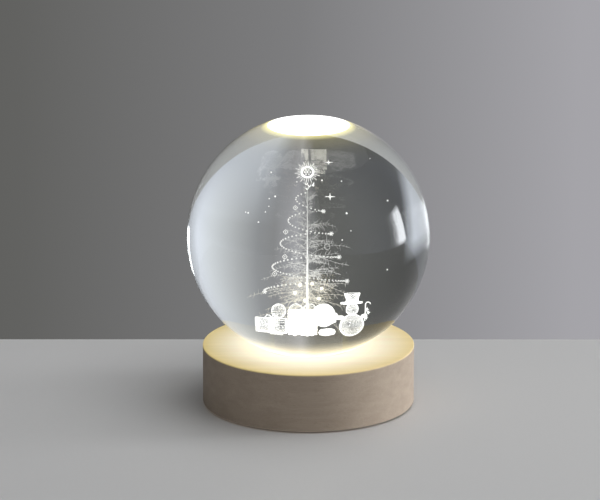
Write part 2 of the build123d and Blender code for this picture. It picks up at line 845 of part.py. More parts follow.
def switch_rocker():
    """The rocker, pressed to its lit side, with a bar mark and a ring mark on its two faces."""
    points = [(-rocker_half, rocker_front), (0, rocker_front - rocker_dish), (rocker_half, rocker_front),
              (rocker_half, rocker_shoulder), (rocker_back_half, -rocker_back),
              (-rocker_back_half, -rocker_back), (-rocker_half, rocker_shoulder)]
    body = extrude(make_face(Polyline(*points, close=True)), rocker_height / 2, both=True)
    body += Cylinder(rocker_pin_r, well_height + 2 * rocker_pin_reach)
    slope = math.degrees(math.atan(rocker_dish / rocker_half))
    level = rocker_front - rocker_dish / 2
    for side in (-1, 1):
        face = Pos(side * rocker_half / 2, level, 0) * Rot(-90, 0, 0) * Rot(0, -side * slope, 0)
        bar = Box(mark_line, mark_height, 2 * mark_depth)
        ring = Cylinder(mark_ring_r, 2 * mark_depth) - Cylinder(mark_ring_r - mark_line, 2 * mark_depth)
        body -= face * (bar if side > 0 else ring)
    return Pos(0, rocker_y, switch_z) * Rot(0, 0, rocker_tilt) * body


def switch_terminals():
    """Two blades out of the back of the switch."""
    blades = []
    for side in (-1, 1):
        blade = Box(terminal_width, terminal_length, terminal_thick, align=IN)
        blades.append(Pos(side * terminal_spread, housing_back_y, switch_z) * blade)
    return blades


def wire(points):
    """A round wire along straight runs joined by arcs."""
    path = FilletPolyline(*points, radius=wire_bend)
    start = Plane(origin=path @ 0, z_dir=path % 0)
    return sweep(start * Circle(wire_r), path=path)


def switch_lead():
    """From the positive contact over the tray's roof to the switch."""
    x = tray_half_x - contact_thick
    blade_x = terminal_spread + terminal_width / 2
    drop_y = (tray_out_y + pocket_r) / 2 - wire_bend
    end_y = terminal_end_y + wire_r
    return wire([(x, cell_pitch, wire_level), (x - tab_run, cell_pitch, wire_level),
                 (tray_half_x / 2, drop_y, wire_level), (tray_half_x / 2, drop_y, switch_z),
                 (blade_x + 2 * wire_bend, end_y, switch_z), (blade_x, end_y, switch_z)])


def board_lead():
    """From the switch up over the tray's roof to the board."""
    up_y = (tray_out_y + terminal_end_y) / 2
    return wire([(-terminal_spread, terminal_end_y, switch_z), (-terminal_spread, up_y, switch_z),
                 (-terminal_spread, up_y, wire_level), (-terminal_spread, reflector_r + wire_r, wire_level)])


def return_lead():
    """From the negative contact to the board."""
    x = tray_half_x - contact_thick
    end_x = math.sqrt(reflector_r ** 2 - (cell_pitch / 2) ** 2) + wire_r
    end_y = -cell_pitch / 2
    return wire([(-x, -cell_pitch, wire_level), (-x + tab_run, -cell_pitch, wire_level),
                 (-end_x - 2 * wire_bend, end_y, wire_level), (-end_x, end_y, wire_level)])


def save(name, shape):
    """Writes one node's solids."""
    if isinstance(shape, list):
        shape = Compound(children=[solid for piece in shape for solid in piece.solids()])
    export_step(shape, f"parts/{name}.step")


os.makedirs("parts", exist_ok=True)

marks_by_node, glass_cavities = picture()
for node_name, node_marks in marks_by_node.items():
    save(node_name, [Pos(0, 0, ball_z) * mark for mark in node_marks])

save("crystal_ball", crystal_ball(glass_cavities))
save("wood_base", wood_base())
save("light_window", light_window())
save("reflector_ring", reflector_ring())
save("diode_board", diode_board())
save("diodes", diodes())
save("resistor", resistor())
save("battery_tray", battery_tray())
for cell_number in range(3):
    save(f"battery_cell_{cell_number + 1}", cell(cell_number))
save("contact_negative", contact_negative())
save("contact_positive", contact_positive())
save("contact_bridge_left", contact_bridge_left())
save("contact_bridge_right", contact_bridge_right())
save("battery_door", battery_door())
save("rubber_feet", rubber_feet())
save("chassis_screws", chassis_screws())
save("switch_housing", switch_housing())
save("switch_rocker", switch_rocker())
save("switch_terminals", switch_terminals())
save("switch_lead", switch_lead())
save("board_lead", board_lead())
save("return_lead", return_lead())
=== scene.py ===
"""Looks of the crystal ball lamp, laid out as an add-on and run as a script.

Metres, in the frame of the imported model: +Z is up and the front faces -Y.
"""
import json
import math
import random

import bmesh
import bpy
from bpy.props import FloatProperty, FloatVectorProperty, IntProperty, PointerProperty
from mathutils import Matrix, Vector


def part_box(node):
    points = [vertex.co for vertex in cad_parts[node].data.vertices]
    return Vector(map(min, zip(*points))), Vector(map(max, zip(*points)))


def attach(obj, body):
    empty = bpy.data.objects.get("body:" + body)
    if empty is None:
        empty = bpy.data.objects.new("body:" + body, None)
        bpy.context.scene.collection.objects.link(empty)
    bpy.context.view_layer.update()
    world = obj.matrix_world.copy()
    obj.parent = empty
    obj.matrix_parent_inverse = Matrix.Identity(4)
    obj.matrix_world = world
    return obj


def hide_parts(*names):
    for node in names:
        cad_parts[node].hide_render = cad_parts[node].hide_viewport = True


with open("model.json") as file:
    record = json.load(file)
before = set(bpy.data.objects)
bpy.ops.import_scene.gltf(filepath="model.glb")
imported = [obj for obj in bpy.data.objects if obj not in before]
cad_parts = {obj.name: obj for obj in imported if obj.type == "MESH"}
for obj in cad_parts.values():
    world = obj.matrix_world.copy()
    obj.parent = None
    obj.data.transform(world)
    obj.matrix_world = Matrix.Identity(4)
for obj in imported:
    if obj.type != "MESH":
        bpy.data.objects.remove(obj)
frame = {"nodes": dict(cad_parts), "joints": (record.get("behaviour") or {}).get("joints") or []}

bl_info = {
    "name": "Crystal ball lamp",
    "version": (1, 0, 0),
    "blender": (4, 5, 0),
    "location": "View3D > Sidebar > Lamp",
    "description": "Glass ball with an engraved winter scene on a lit wooden base",
    "category": "Add Mesh",
}

mm = 0.001
ball_low, ball_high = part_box("crystal_ball")
wood_low, wood_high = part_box("wood_base")
window_low, window_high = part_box("light_window")
centre = (ball_low + ball_high) / 2
ball_radius = (ball_high.x - ball_low.x) / 2
flat_rise = (ball_high.z - ball_low.z) / 2
flat_radius = math.sqrt(ball_radius ** 2 - flat_rise ** 2)
underside = ("wood_base", "battery_tray", "battery_door", "battery_cell_1", "battery_cell_2", "battery_cell_3",
             "contact_negative", "contact_positive", "contact_bridge_left", "contact_bridge_right",
             "rubber_feet", "chassis_screws")

# The engraved picture, in millimetres from the ball's centre
tree_x = -0.25
trunk_foot = -21.8
trunk_top = 12.7
TURNS = 4
snowman_at = (9.9, -5.0, -23.0)
big_gift = (-1.28, -5.0, -21.5, 6.0, 5.6, 5.6)      # centre of the foot, then width, depth and height
long_gift = (-8.3, -4.0, -21.4, 6.8, 3.6, 3.5)
# Long sprays that stand out: angle round the trunk, height at the trunk, reach and rise
long_sprays = ((0, -3.4, 8.6, -0.55), (0, -4.4, 9.2, 0.75), (182, -8.2, 9.6, 0.1), (178, -11.0, 12.6, 0.0),
               (355, -9.6, 9.0, -0.25), (5, 1.6, 6.0, 0.5))
# Stars in the sky: place in shares of the ball's radius, and the dots' radius in millimetres
sky_crosses = ((0.13, -0.15, 0.54), (0.115, 0.1, 0.19))
sky_dots = (
    (0.22, -0.08, 0.16, 0.25), (-0.17, 0.18, 0.16, 0.2), (-0.22, 0.0, 0.39, 0.2), (-0.3, -0.15, 0.13, 0.19),
    (-0.32, 0.1, 0.1, 0.17), (-0.37, -0.08, 0.17, 0.14), (-0.24, 0.0, 0.14, 0.13), (-0.24, -0.15, 0.23, 0.14),
    (-0.21, 0.1, 0.18, 0.14), (-0.07, -0.08, 0.36, 0.14), (0.07, 0.18, 0.25, 0.18), (0.19, 0.0, 0.33, 0.14),
    (0.2, -0.19, 0.03, 0.17), (0.22, 0.1, 0.0, 0.12), (0.41, -0.08, 0.56, 0.13), (0.41, 0.18, 0.14, 0.17),
    (0.43, 0.0, -0.19, 0.17))


# Materials

class Value:
    """A number or colour inside a material; sums and products on it add Math nodes."""

    def __init__(self, finish, output):
        self.finish = finish
        self.output = output

    def math(self, operation, *values):
        return self.finish.node("ShaderNodeMath", {"operation": operation}, dict(enumerate(values)))

    def __add__(self, other):
        return self.math("ADD", self, other)

    def __radd__(self, other):
        return self.math("ADD", other, self)

    def __sub__(self, other):
        return self.math("SUBTRACT", self, other)

    def __rsub__(self, other):
        return self.math("SUBTRACT", other, self)

    def __mul__(self, other):
        return self.math("MULTIPLY", self, other)

    def __rmul__(self, other):
        return self.math("MULTIPLY", other, self)

    def __truediv__(self, other):
        return self.math("DIVIDE", self, other)

    def __pow__(self, other):
        return self.math("POWER", self, other)


class Finish:
    """A material, or a world, that is put together node by node."""

    def __init__(self, name, world=False):
        self.material = (bpy.data.worlds if world else bpy.data.materials).new(name)
        self.material.use_nodes = True
        self.tree = self.material.node_tree
        self.tree.nodes.clear()

    def node(self, kind, settings=None, inputs=None, output=0):
        """Adds a node, sets it up, fills or links its sockets and gives back one of its outputs."""
        node = self.tree.nodes.new(kind)
        for name, value in (settings or {}).items():
            if name == "stops":
                self.fill_ramp(node.color_ramp, value)
            else:
                setattr(node, name, value)
        for name, value in (inputs or {}).items():
            if isinstance(value, Value):
                self.tree.links.new(value.output, node.inputs[name])
            else:
                node.inputs[name].default_value = value
        return Value(self, node.outputs[output]) if node.outputs else None

    def fill_ramp(self, ramp, stops):
        while len(ramp.elements) < len(stops):
            ramp.elements.new(1)
        for element, (place, colour) in zip(ramp.elements, stops):
            element.position = place
            element.color = (*colour, 1)

    def place(self, scale=(1, 1, 1), turn=(0, 0, 0), shift=(0, 0, 0)):
        """The point on the piece, in metres, scaled, turned and shifted."""
        point = self.node("ShaderNodeTexCoord", output="Object")
        return self.node("ShaderNodeMapping", {}, {"Vector": point, "Scale": scale, "Rotation": turn,
                                                   "Location": shift})

    def axes(self, point):
        """A point's three numbers."""
        parts = self.node("ShaderNodeSeparateXYZ", {}, {0: point}).output.node
        return [Value(self, parts.outputs[axis]) for axis in range(3)]

    def noise(self, point, scale, detail=2, roughness=0.5, distortion=0):
        return self.node("ShaderNodeTexNoise", {}, {
            "Vector": point, "Scale": scale, "Detail": detail, "Roughness": roughness,
            "Distortion": distortion})

    def ramp(self, value, *stops):
        """A colour, or a grey level where the stops are numbers, by a value from 0 to 1."""
        stops = [(place, colour if isinstance(colour, tuple) else (colour,) * 3) for place, colour in stops]
        return self.node("ShaderNodeValToRGB", {"stops": stops}, {0: value})

    def mix(self, share, one, other):
        """A colour between two."""
        def full(colour):
            return colour if isinstance(colour, Value) else (*colour[:3], 1)
        return self.node("ShaderNodeMix", {"data_type": "RGBA"}, {0: share, 6: full(one), 7: full(other)}, 2)

    def scaled(self, colour, share):
        """A colour made darker or brighter."""
        return self.node("ShaderNodeVectorMath", {"operation": "SCALE"}, {0: colour, "Scale": share})

    def bump(self, height, depth, strength=1.0):
        return self.node("ShaderNodeBump", {}, {"Height": height, "Distance": depth, "Strength": strength})

    def shader(self, **inputs):
        """A Principled shader; the inputs are named as its sockets, with _ for a space."""
        sockets = {name.replace("_", " "): self.whole(value) for name, value in inputs.items()}
        return self.node("ShaderNodeBsdfPrincipled", {}, sockets)

    def whole(self, value):
        return (*value, 1) if isinstance(value, (tuple, list)) and len(value) == 3 else value

    def done(self, shader):
        world = isinstance(self.material, bpy.types.World)
        self.node("ShaderNodeOutputWorld" if world else "ShaderNodeOutputMaterial", {}, {"Surface": shader})
        return self.material


# Pieces

def finish_piece(name, mesh_maker, materials, body, slot, *stands_for, smooth=True):
    """Turns a bmesh into a piece that rides on a body and stands for CAD nodes."""
    mesh = bpy.data.meshes.new(name)
    mesh_maker.to_mesh(mesh)
    mesh_maker.free()
    for material in materials:
        mesh.materials.append(material)
    if smooth:
        mesh.shade_smooth()
    piece = bpy.data.objects.new(name, mesh)
    bpy.context.scene.collection.objects.link(piece)
    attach(piece, body)
    if stands_for:
        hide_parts(*stands_for)
    return piece


def dress(node, material):
    """Gives a CAD node its material."""
    mesh = frame["nodes"][node].data
    if not mesh.materials:
        mesh.materials.append(material)
    for number in range(len(mesh.materials)):
        mesh.materials[number] = material


def in_ball(x, y, z):
    """A point given in millimetres from the ball's centre."""
    return centre + Vector((x, y, z)) * mm


class Stamp:
    """A small shape that is put into a piece many times."""

    def __init__(self, maker):
        self.mesh = bpy.data.meshes.new("stamp")
        maker.to_mesh(self.mesh)
        maker.free()
        self.corners = [vert.co.copy() for vert in self.mesh.vertices]

    def put(self, shape, matrix):
        for vert, corner in zip(self.mesh.vertices, self.corners):
            vert.co = matrix @ corner
        shape.from_mesh(self.mesh)


def speck_stamp():
    """The smallest mark that the laser leaves: eight faces and a radius of one."""
    shape = bmesh.new()
    bmesh.ops.create_uvsphere(shape, u_segments=4, v_segments=2, radius=1)
    return Stamp(shape)


def bead_stamp():
    shape = bmesh.new()
    bmesh.ops.create_icosphere(shape, subdivisions=1, radius=1)
    return Stamp(shape)


def line_stamp(tip):
    """A thin line one long and one in radius, which narrows to a share of it."""
    shape = bmesh.new()
    bmesh.ops.create_cone(shape, cap_ends=True, segments=4, radius1=1, radius2=tip, depth=1,
                          matrix=Matrix.Translation((0, 0, 0.5)))
    return Stamp(shape)


def hoop_stamp(width_share, steps=24):
    """A wire ring with a radius of one that faces the front."""
    shape = bmesh.new()
    wire = Matrix.Translation((1, 0, 0)) @ Matrix.Rotation(math.pi / 2, 4, "X")
    bmesh.ops.create_circle(shape, segments=5, radius=width_share, matrix=wire)
    bmesh.ops.spin(shape, geom=shape.verts[:] + shape.edges[:], axis=(0, 0, 1), angle=2 * math.pi,
                   steps=steps, use_merge=True)
    bmesh.ops.remove_doubles(shape, verts=shape.verts, dist=1e-5)
    bmesh.ops.recalc_face_normals(shape, faces=shape.faces)
    bmesh.ops.rotate(shape, matrix=Matrix.Rotation(math.pi / 2, 3, "X"), verts=shape.verts)
    return Stamp(shape)


def sized(place, radius):
    """The matrix of a mark at a point in metres; its radius is in millimetres."""
    return Matrix.Translation(place) @ Matrix.Scale(radius * mm, 4)


class Engraving:
    """A piece under the laser: specks, beads, lines and hoops, in millimetres from the ball's centre."""

    def __init__(self, seed):
        self.shape = bmesh.new()
        self.chance = random.Random(seed)
        self.speck_mark = speck_stamp()
        self.bead_mark = bead_stamp()
        self.taper_mark = line_stamp(0.3)
        self.line_mark = line_stamp(1)
        self.hoop_marks = {}

    def speck(self, place, radius):
        self.speck_mark.put(self.shape, sized(place, radius))

    def bead(self, x, y, z, radius):
        self.bead_mark.put(self.shape, sized(in_ball(x, y, z), radius))

    def line(self, start, end, radius, mark=None):
        start, end = in_ball(*start), in_ball(*end)
        along = end - start
        turn = along.to_track_quat("Z", "Y").to_matrix().to_4x4()
        size = Matrix.Diagonal((radius * mm, radius * mm, along.length, 1))
        (mark or self.line_mark).put(self.shape, Matrix.Translation(start) @ turn @ size)

    def taper(self, start, end, radius):
        self.line(start, end, radius, self.taper_mark)

    def hoop(self, x, y, z, radius, wire):
        share = round(wire / radius, 3)
        if share not in self.hoop_marks:
            self.hoop_marks[share] = hoop_stamp(share)
        self.hoop_marks[share].put(self.shape, sized(in_ball(x, y, z), radius))

    def row(self, points, radius, pitch):
        """Specks along a line through points."""
        for start, end in zip(points, points[1:]):
            start, end = Vector(start), Vector(end)
            count = max(1, round((end - start).length / pitch))
            for number in range(count):
                at = start.lerp(end, number / count)
                self.speck(in_ball(*at) + self.jitter(radius * 0.5), radius)

    def jitter(self, reach):
        return Vector([self.chance.uniform(-reach, reach) for axis in range(3)]) * mm

    def strew(self, figure, radius, keep=None, spread=0.6):
        """Specks on the corners of a figure's surface, or on those of them that are kept."""
        for vert in figure.verts:
            if keep and not keep((vert.co - centre) / mm):
                continue
            size = radius * self.chance.uniform(0.75, 1.25)
            self.speck(vert.co + self.jitter(radius * spread), size)
        figure.free()

    def piece(self, name, finish, *stands_for):
        return finish_piece(name, self.shape, [finish], "ball", "engraving", *stands_for, smooth=False)


def box_surface(foot, size, pitch):
    """The walls of a box as even rows of corners; foot is the centre of its underside."""
    figure = bmesh.new()
    middle = in_ball(foot[0], foot[1], foot[2] + size[2] / 2)
    sides = Matrix.Diagonal((size[0] * mm, size[1] * mm, size[2] * mm, 1))
    bmesh.ops.create_cube(figure, size=1, matrix=Matrix.Translation(middle) @ sides)
    for axis in range(3):
        edges = [edge for edge in figure.edges
                 if abs(edge.verts[0].co[axis] - edge.verts[1].co[axis]) > 1e-7]
        cuts = max(1, round(size[axis] / pitch) - 1)
        bmesh.ops.subdivide_edges(figure, edges=edges, cuts=cuts, use_grid_fill=True)
    return figure


def round_surface(at, radius, detail, stretch=(1, 1, 1)):
    """A round body as an even net of corners."""
    figure = bmesh.new()
    matrix = Matrix.Translation(in_ball(*at)) @ Matrix.Diagonal((*stretch, 1))
    bmesh.ops.create_icosphere(figure, subdivisions=detail, radius=radius * mm, matrix=matrix)
    return figure


def turned_surface(at, profile, steps, tilt=0):
    """A turned body from points of radius and height, as rings of corners."""
    figure = bmesh.new()
    verts = [figure.verts.new((radius * mm, 0, height * mm)) for radius, height in profile]
    edges = [figure.edges.new(pair) for pair in zip(verts, verts[1:])]
    bmesh.ops.spin(figure, geom=verts + edges, axis=(0, 0, 1), angle=2 * math.pi, steps=steps,
                   use_merge=True)
    bmesh.ops.remove_doubles(figure, verts=figure.verts, dist=1e-6)
    matrix = Matrix.Translation(in_ball(*at)) @ Matrix.Rotation(math.radians(tilt), 4, "X")
    bmesh.ops.transform(figure, matrix=matrix, verts=figure.verts)
    return figure


def even(points, pitch):
    """Points of radius and height along a profile, evenly spaced."""
    spread = [points[0]]
    for (r0, h0), (r1, h1) in zip(points, points[1:]):
        count = max(1, round(math.hypot(r1 - r0, h1 - h0) / pitch))
        spread += [(r0 + (r1 - r0) * n / count, h0 + (h1 - h0) * n / count) for n in range(1, count + 1)]
    return spread


def garland_height(angle):
    """Height of the garland at an angle in degrees; 180 is its first turn on the left."""
    turn = math.radians(angle)
    tilt = 0.53 * math.sin(turn) + 0.17 * (1 + math.cos(turn))
    return 8.66 - 5.2 * (angle - 180) / 360 - tilt


def garland_radius(height):
    """Distance of the garland from the trunk at a height."""
    return 2.6 + 0.311 * (8.66 - height)


def round_tree(angle, radius, height):
    """A point round the trunk, by its angle in degrees."""
    turn = math.radians(angle)
    return (tree_x + radius * math.cos(turn), radius * math.sin(turn), height)


class EngravingSettings(bpy.types.PropertyGroup):
    colour: FloatVectorProperty(name="Colour", description="Light of the engraved marks", subtype="COLOR",
                                default=(1.0, 0.995, 0.97))
    warm: FloatVectorProperty(name="Warm", description="Light of the marks low in the tree",
                              subtype="COLOR", default=(1.0, 0.86, 0.55))
    strength: FloatProperty(name="Strength", description="How brightly the marks shine", default=1.0)
    twigs: IntProperty(name="Twigs", description="Number of sprays on the tree", default=150, min=10)
    needles: IntProperty(name="Needles", description="Pairs of needles on the longest twig", default=10,
                         min=2)


def laser_marks(name, colour, strength, top_light_share=1.0, low_light_colour=None):
    """Marks in the glass that glow white with painted light, some brighter than others; the painted light may fade and
    cool off upwards.
    """
    finish = Finish(name)
    flicker = finish.noise(finish.place(), 2600, 1)
    # Painted light by height: warmer low down by the lamp and dimmer towards the top
    height = (finish.axes(finish.place())[2] - centre.z + 15 * mm) / (20 * mm)
    low = tuple(low_light_colour or colour)
    light_by_height = finish.ramp(height, (0.0, low), (0.35, tuple(colour)), (1.0, darker(colour, top_light_share)))
    light = finish.mix(finish.ramp(flicker, (0.35, 0.0), (0.65, 1.0)), finish.scaled(light_by_height, 0.72), light_by_height)
    return finish.done(finish.shader(Base_Color=(0.2, 0.2, 0.2), Roughness=0.7, Emission_Color=light,
                                     Emission_Strength=strength))


class LAMP_OT_tree(bpy.types.Operator):
    """Engraves the trunk, the sprays, the bead garland and the baubles"""
    bl_idname = "lamp.tree"
    bl_label = "Tree"

    def execute(self, context):
        settings = context.scene.lamp_engraving
        bright = laser_marks("laser_marks", settings.colour, settings.strength)
        faint = laser_marks("laser_marks_faint", settings.colour, 0.8 * settings.strength, 0.6, (1.0, 0.93, 0.76))
        stem = laser_marks("laser_marks_stem", settings.colour, 1.3 * settings.strength, 0.5)
        self.trunk().piece("engraved_trunk", stem, "tree_trunk")
        self.sprays(settings).piece("engraved_sprays", faint, "tree_branches")
        self.garland().piece("engraved_garland", bright, "bead_garland")
        self.baubles().piece("engraved_baubles", bright, "baubles")
        warm = laser_marks("laser_marks_warm", settings.warm, 1.8 * settings.strength)
        lit = laser_marks("laser_marks_lit", tuple(0.5 + 0.5 * part for part in settings.warm), 3.2 * settings.strength)
        self.lights().piece("engraved_lights", lit)
        self.glow().piece("engraved_glow", warm)
        return {"FINISHED"}

    def trunk(self):
        """A bundle of fine lines that part a little towards the foot."""
        work = Engraving(11)
        for number in range(12):
            turn = number * 2.4
            foot = 0.3 * math.sqrt((number + 0.5) / 12)
            top = trunk_top - 0.9 * number
            work.taper((tree_x + foot * math.cos(turn), foot * math.sin(turn), trunk_foot),
                       (tree_x + 0.06 * math.cos(turn), 0.06 * math.sin(turn), top), 0.085)
        return work

    def sprays(self, settings):
        """Short bushy twigs close to the trunk, and long thin ones that get more towards the foot."""
        work = Engraving(23)
        chance = work.chance
        for number in range(settings.twigs):
            long = number % 3 == 0
            share = (number + 0.5) / settings.twigs
            share = share ** 0.6 if long else share ** 0.75
            height = 9.4 - 25.2 * share
            cone = 1.7 + 0.43 * (9.4 - height)
            reach = cone * (chance.uniform(0.75, 1.12) if long else chance.uniform(0.28, 0.62))
            rise = 1.0 - 1.25 * share + chance.uniform(-0.3, 0.3)
            self.twig(work, settings, 137.5 * number, height, reach, rise, long)
        for angle, height, reach, rise in long_sprays:
            self.twig(work, settings, angle, height, reach, rise, True)
        for number in range(13):
            share = number / 12
            work.taper((tree_x - 0.2 + 0.7 * share, 0, 8.3 + chance.uniform(-0.6, 0.6)),
                       (tree_x - 1.1 + 3.4 * share, chance.uniform(-1, 1), 11.3 - 1.1 * share), 0.05)
        return work

    def twig(self, work, settings, angle, height, reach, rise, long):
        """One spray: a drooping line with fine needles on both sides."""
        chance = work.chance
        steps = 6
        droop = chance.uniform(0.1, 0.55)
        sway = chance.uniform(-9, 9)
        points = []
        for step in range(steps + 1):
            out = step / steps
            lift = reach * (rise * out * (1 - 0.45 * out) - droop * out * out * 0.5)
            points.append(Vector(round_tree(angle + sway * out, 0.25 + reach * out, height + lift)))
        for step in range(steps):
            work.line(points[step], points[step + 1], 0.03 - 0.012 * step / steps)
        needles = max(4, round(settings.needles * reach / (11 if long else 8)))
        for number in range(needles):
            spot = (0.2 + 0.8 * (number + 1) / (needles + 1)) * steps
            first = int(spot)
            base = points[first].lerp(points[first + 1], spot % 1)
            ahead = (points[first + 1] - points[first]).normalized()
            side = ahead.cross(Vector((0, 0, 1))).normalized()
            length = (1.7 - 0.9 * spot / steps) * chance.uniform(0.5, 1.2) * min(1, reach / 4)
            for way in (-1, 1):
                turn = chance.uniform(-1.5, 1.5)
                lean = chance.uniform(0.0, 0.7)
                aim = ahead * lean + (side * math.cos(turn) + Vector((0, 0, 1)) * math.sin(turn)) * way * 0.7
                work.taper(base, base + aim.normalized() * length, 0.033)

    def garland(self):
        work = Engraving(31)
        angle = 100.0
        next_right = 360
        while angle < 180 + 360 * TURNS:
            height = garland_height(angle)
            large = angle >= next_right
            if large:
                next_right += 360
                self.cluster(work, round_tree(angle, garland_radius(height), height))
            else:
                behind = 0 < angle % 360 < 90
                work.bead(*round_tree(angle, garland_radius(height), height), 0.11 if behind else 0.2)
            angle += math.degrees((0.95 + (0.3 if large else 0)) / garland_radius(height))
        height = garland_height(angle)
        self.cluster(work, round_tree(angle, garland_radius(height), height))
        return work

    def cluster(self, work, at):
        """A large bead with small ones round it."""
        work.bead(*at, 0.34)
        for number in range(6):
            turn = number * math.pi / 3
            work.bead(at[0] + 0.42 * math.cos(turn), at[1], at[2] + 0.42 * math.sin(turn), 0.13)

    def baubles(self):
        """Rings with a heart on the left, and a small open one on the right."""
        work = Engraving(37)
        for x, z in ((-2.93, 6.56), (-4.97, 0.95), (-5.07, -4.6), (-7.2, -8.3)):
            work.hoop(x, 0, z, 0.42, 0.07)
            work.bead(x, 0, z, 0.16)
            for number in range(4):
                turn = number * math.pi / 2
                work.bead(x + 0.52 * math.cos(turn), 0, z + 0.52 * math.sin(turn), 0.09)
        work.hoop(4.0, 0, -2.4, 0.6, 0.03)
        work.taper((4.0, 0, -1.8), (3.8, 0, 0.6), 0.03)
        return work

    def lights(self):
        """Bright round marks among the lowest sprays."""
        work = Engraving(41)
        for x, z in ((-1.83, -10.53), (0.81, -10.26), (2.79, -11.33), (-2.89, -12.29), (-0.76, -13.88),
                     (2.18, -13.5)):
            work.bead(x, -1, z, 0.34)
            for mark in range(70):
                work.speck(in_ball(work.chance.gauss(x, 0.6), work.chance.gauss(-1, 0.6), work.chance.gauss(z, 0.5)),
                           0.028)
            for number in range(10):
                turn = number * 0.628
                work.taper((x + 0.2 * math.cos(turn), -1, z + 0.2 * math.sin(turn)),
                           (x + 0.55 * math.cos(turn), -1, z + 0.55 * math.sin(turn)), 0.03)
        return work

    def glow(self):
        """A haze of the finest marks round the lights."""
        work = Engraving(83)
        for mark in range(2200):
            turn, out = work.chance.uniform(0, 2 * math.pi), 5.8 * math.sqrt(work.chance.random())
            work.speck(in_ball(tree_x + out * math.cos(turn), out * math.sin(turn), work.chance.uniform(-14, -8.5)),
                       0.026)
        return work


class LAMP_OT_star(bpy.types.Operator):
    """Engraves the star on the treetop and the stars round the tree"""
    bl_idname = "lamp.star"
    bl_label = "Star and sky"

    def execute(self, context):
        settings = context.scene.lamp_engraving
        bright = laser_marks("laser_marks_star", settings.colour, 1.6 * settings.strength)
        self.star().piece("engraved_star", bright, "star_topper")
        self.sky().piece("engraved_sky", bright, "sky_stars")
        return {"FINISHED"}

    def star(self):
        work = Engraving(43)
        z = 15.5
        for radius in (1.16, 1.26, 1.36, 1.46, 1.56):
            work.hoop(tree_x, 0, z, radius, 0.06)
        work.bead(tree_x, 0, z, 0.26)
        for number in range(6):
            turn = number * math.pi / 3
            work.bead(tree_x + 0.66 * math.cos(turn), 0, z + 0.66 * math.sin(turn), 0.19)
        for number in range(28):
            turn = (2 * number + 1) * math.pi / 28
            end = 2.35 if number % 2 else 2.95
            work.line((tree_x + 1.7 * math.cos(turn), 0, z + 1.7 * math.sin(turn)),
                      (tree_x + end * math.cos(turn), 0, z + end * math.sin(turn)), 0.058)
        for x, z0, lean in ((-0.3, 10.9, -0.5), (0.2, 11.6, 0.4), (-0.5, 12.1, -0.8)):
            for side in (-1, 1):
                work.taper((x, 0, z0), (x + side * 0.7 + lean * 0.2, 0, z0 + 0.75), 0.06)
                work.taper((x, 0, z0), (x + side * 0.45, 0, z0 + 1.0), 0.05)
        work.bead(1.08, 0, 12.0, 0.28)
        work.taper((1.08, 0, 12.1), (1.25, 0, 12.85), 0.16)
        return work

    def sky(self):
        work = Engraving(47)
        reach = ball_radius / mm
        for *at, size in sky_dots:
            work.bead(*[reach * part for part in at], size)
        for at in sky_crosses:
            x, y, z = [reach * part for part in at]
            work.bead(x, y, z, 0.28)
            for way_x, way_z, long in ((1, 0, 1.1), (-1, 0, 1.1), (0, 1, 0.8), (0, -1, 0.8)):
                work.taper((x, y, z), (x + way_x * long, y, z + way_z * long), 0.12)
        return work


class LAMP_OT_snowman(bpy.types.Operator):
    """Engraves the snowman, its hat and the cane"""
    bl_idname = "lamp.snowman"
    bl_label = "Snowman"

    def execute(self, context):
        settings = context.scene.lamp_engraving
        shell = laser_marks("laser_marks_snow", settings.colour, 2.1 * settings.strength)
        self.body().piece("engraved_snowman", shell, "snowman")
        self.hat().piece("engraved_hat", shell, "snowman_hat")
        self.cane().piece("engraved_cane", shell, "candy_cane")
        return {"FINISHED"}

    def body(self):
        work = Engraving(53)
        x, y, foot = snowman_at
        work.strew(round_surface((x, y, foot + 3.1), 2.9, 5), 0.056)
        work.strew(round_surface((x, y, foot + 7.2), 1.45, 4), 0.06)
        work.strew(round_surface((x + 2.9, y, foot + 5.3), 0.6, 3, (1.2, 0.8, 0.8)), 0.08)
        work.strew(round_surface((x - 3.0, y, foot + 5.3), 0.8, 3, (1.5, 0.7, 0.6)), 0.08)
        work.strew(round_surface((x - 3.9, y, foot + 5.9), 0.5, 3), 0.08)
        for number in range(3):
            tilt = math.radians(15 * number)
            work.bead(x, y - 3.1 * math.cos(tilt), foot + 3 + 3.1 * math.sin(tilt), 0.17)
        work.taper((x, y - 1.45, foot + 7.2), (x, y - 2.3, foot + 7.1), 0.18)
        return work

    def hat(self):
        """A brim and a crown with crossed lines."""
        work = Engraving(59)
        x, y, foot = snowman_at
        brim = foot + 8.5
        edge = even([(1.3, 0), (2.5, 0.1), (2.5, 0.35), (1.3, 0.3)], 0.2)
        work.strew(turned_surface((x - 0.15, y, brim), edge, 70), 0.07)
        crown = even([(1.35, 0.3), (1.42, 1.2), (1.8, 2.4)], 0.12)
        work.strew(turned_surface((x, y, brim), crown, 90), 0.055, lambda at: crossed(at, x, y))
        for radius, height in ((1.8, 2.4), (1.4, 0.4), (1.42, 0.75)):
            work.row([(x + radius * math.cos(turn / 30 * math.pi), y + radius * math.sin(turn / 30 * math.pi),
                       brim + height) for turn in range(61)], 0.075, 0.14)
        return work

    def cane(self):
        work = Engraving(61)
        x, y, foot = snowman_at
        x += 3.15
        top = foot + 8.1
        bend = [(x + 0.6 - 0.6 * math.cos(turn * math.pi / 12), y, top + 0.6 * math.sin(turn * math.pi / 12))
                for turn in range(13)]
        path = [(x, y, top - 4.0)] + bend
        for side in (-0.13, 0, 0.13):
            work.row([(px, py + side, pz) for px, py, pz in path], 0.1, 0.13)
        for shift, drop, size in ((0.35, 1.2, 0.3), (0.75, 2.0, 0.26), (0.25, 3.3, 0.24)):
            bx, bz = x + shift, top - drop
            work.bead(bx, y, bz, size)
            for number in range(5):
                turn = number * 1.257
                work.taper((bx, y, bz), (bx + 0.55 * math.cos(turn), y, bz + 0.55 * math.sin(turn)), 0.11)
        return work


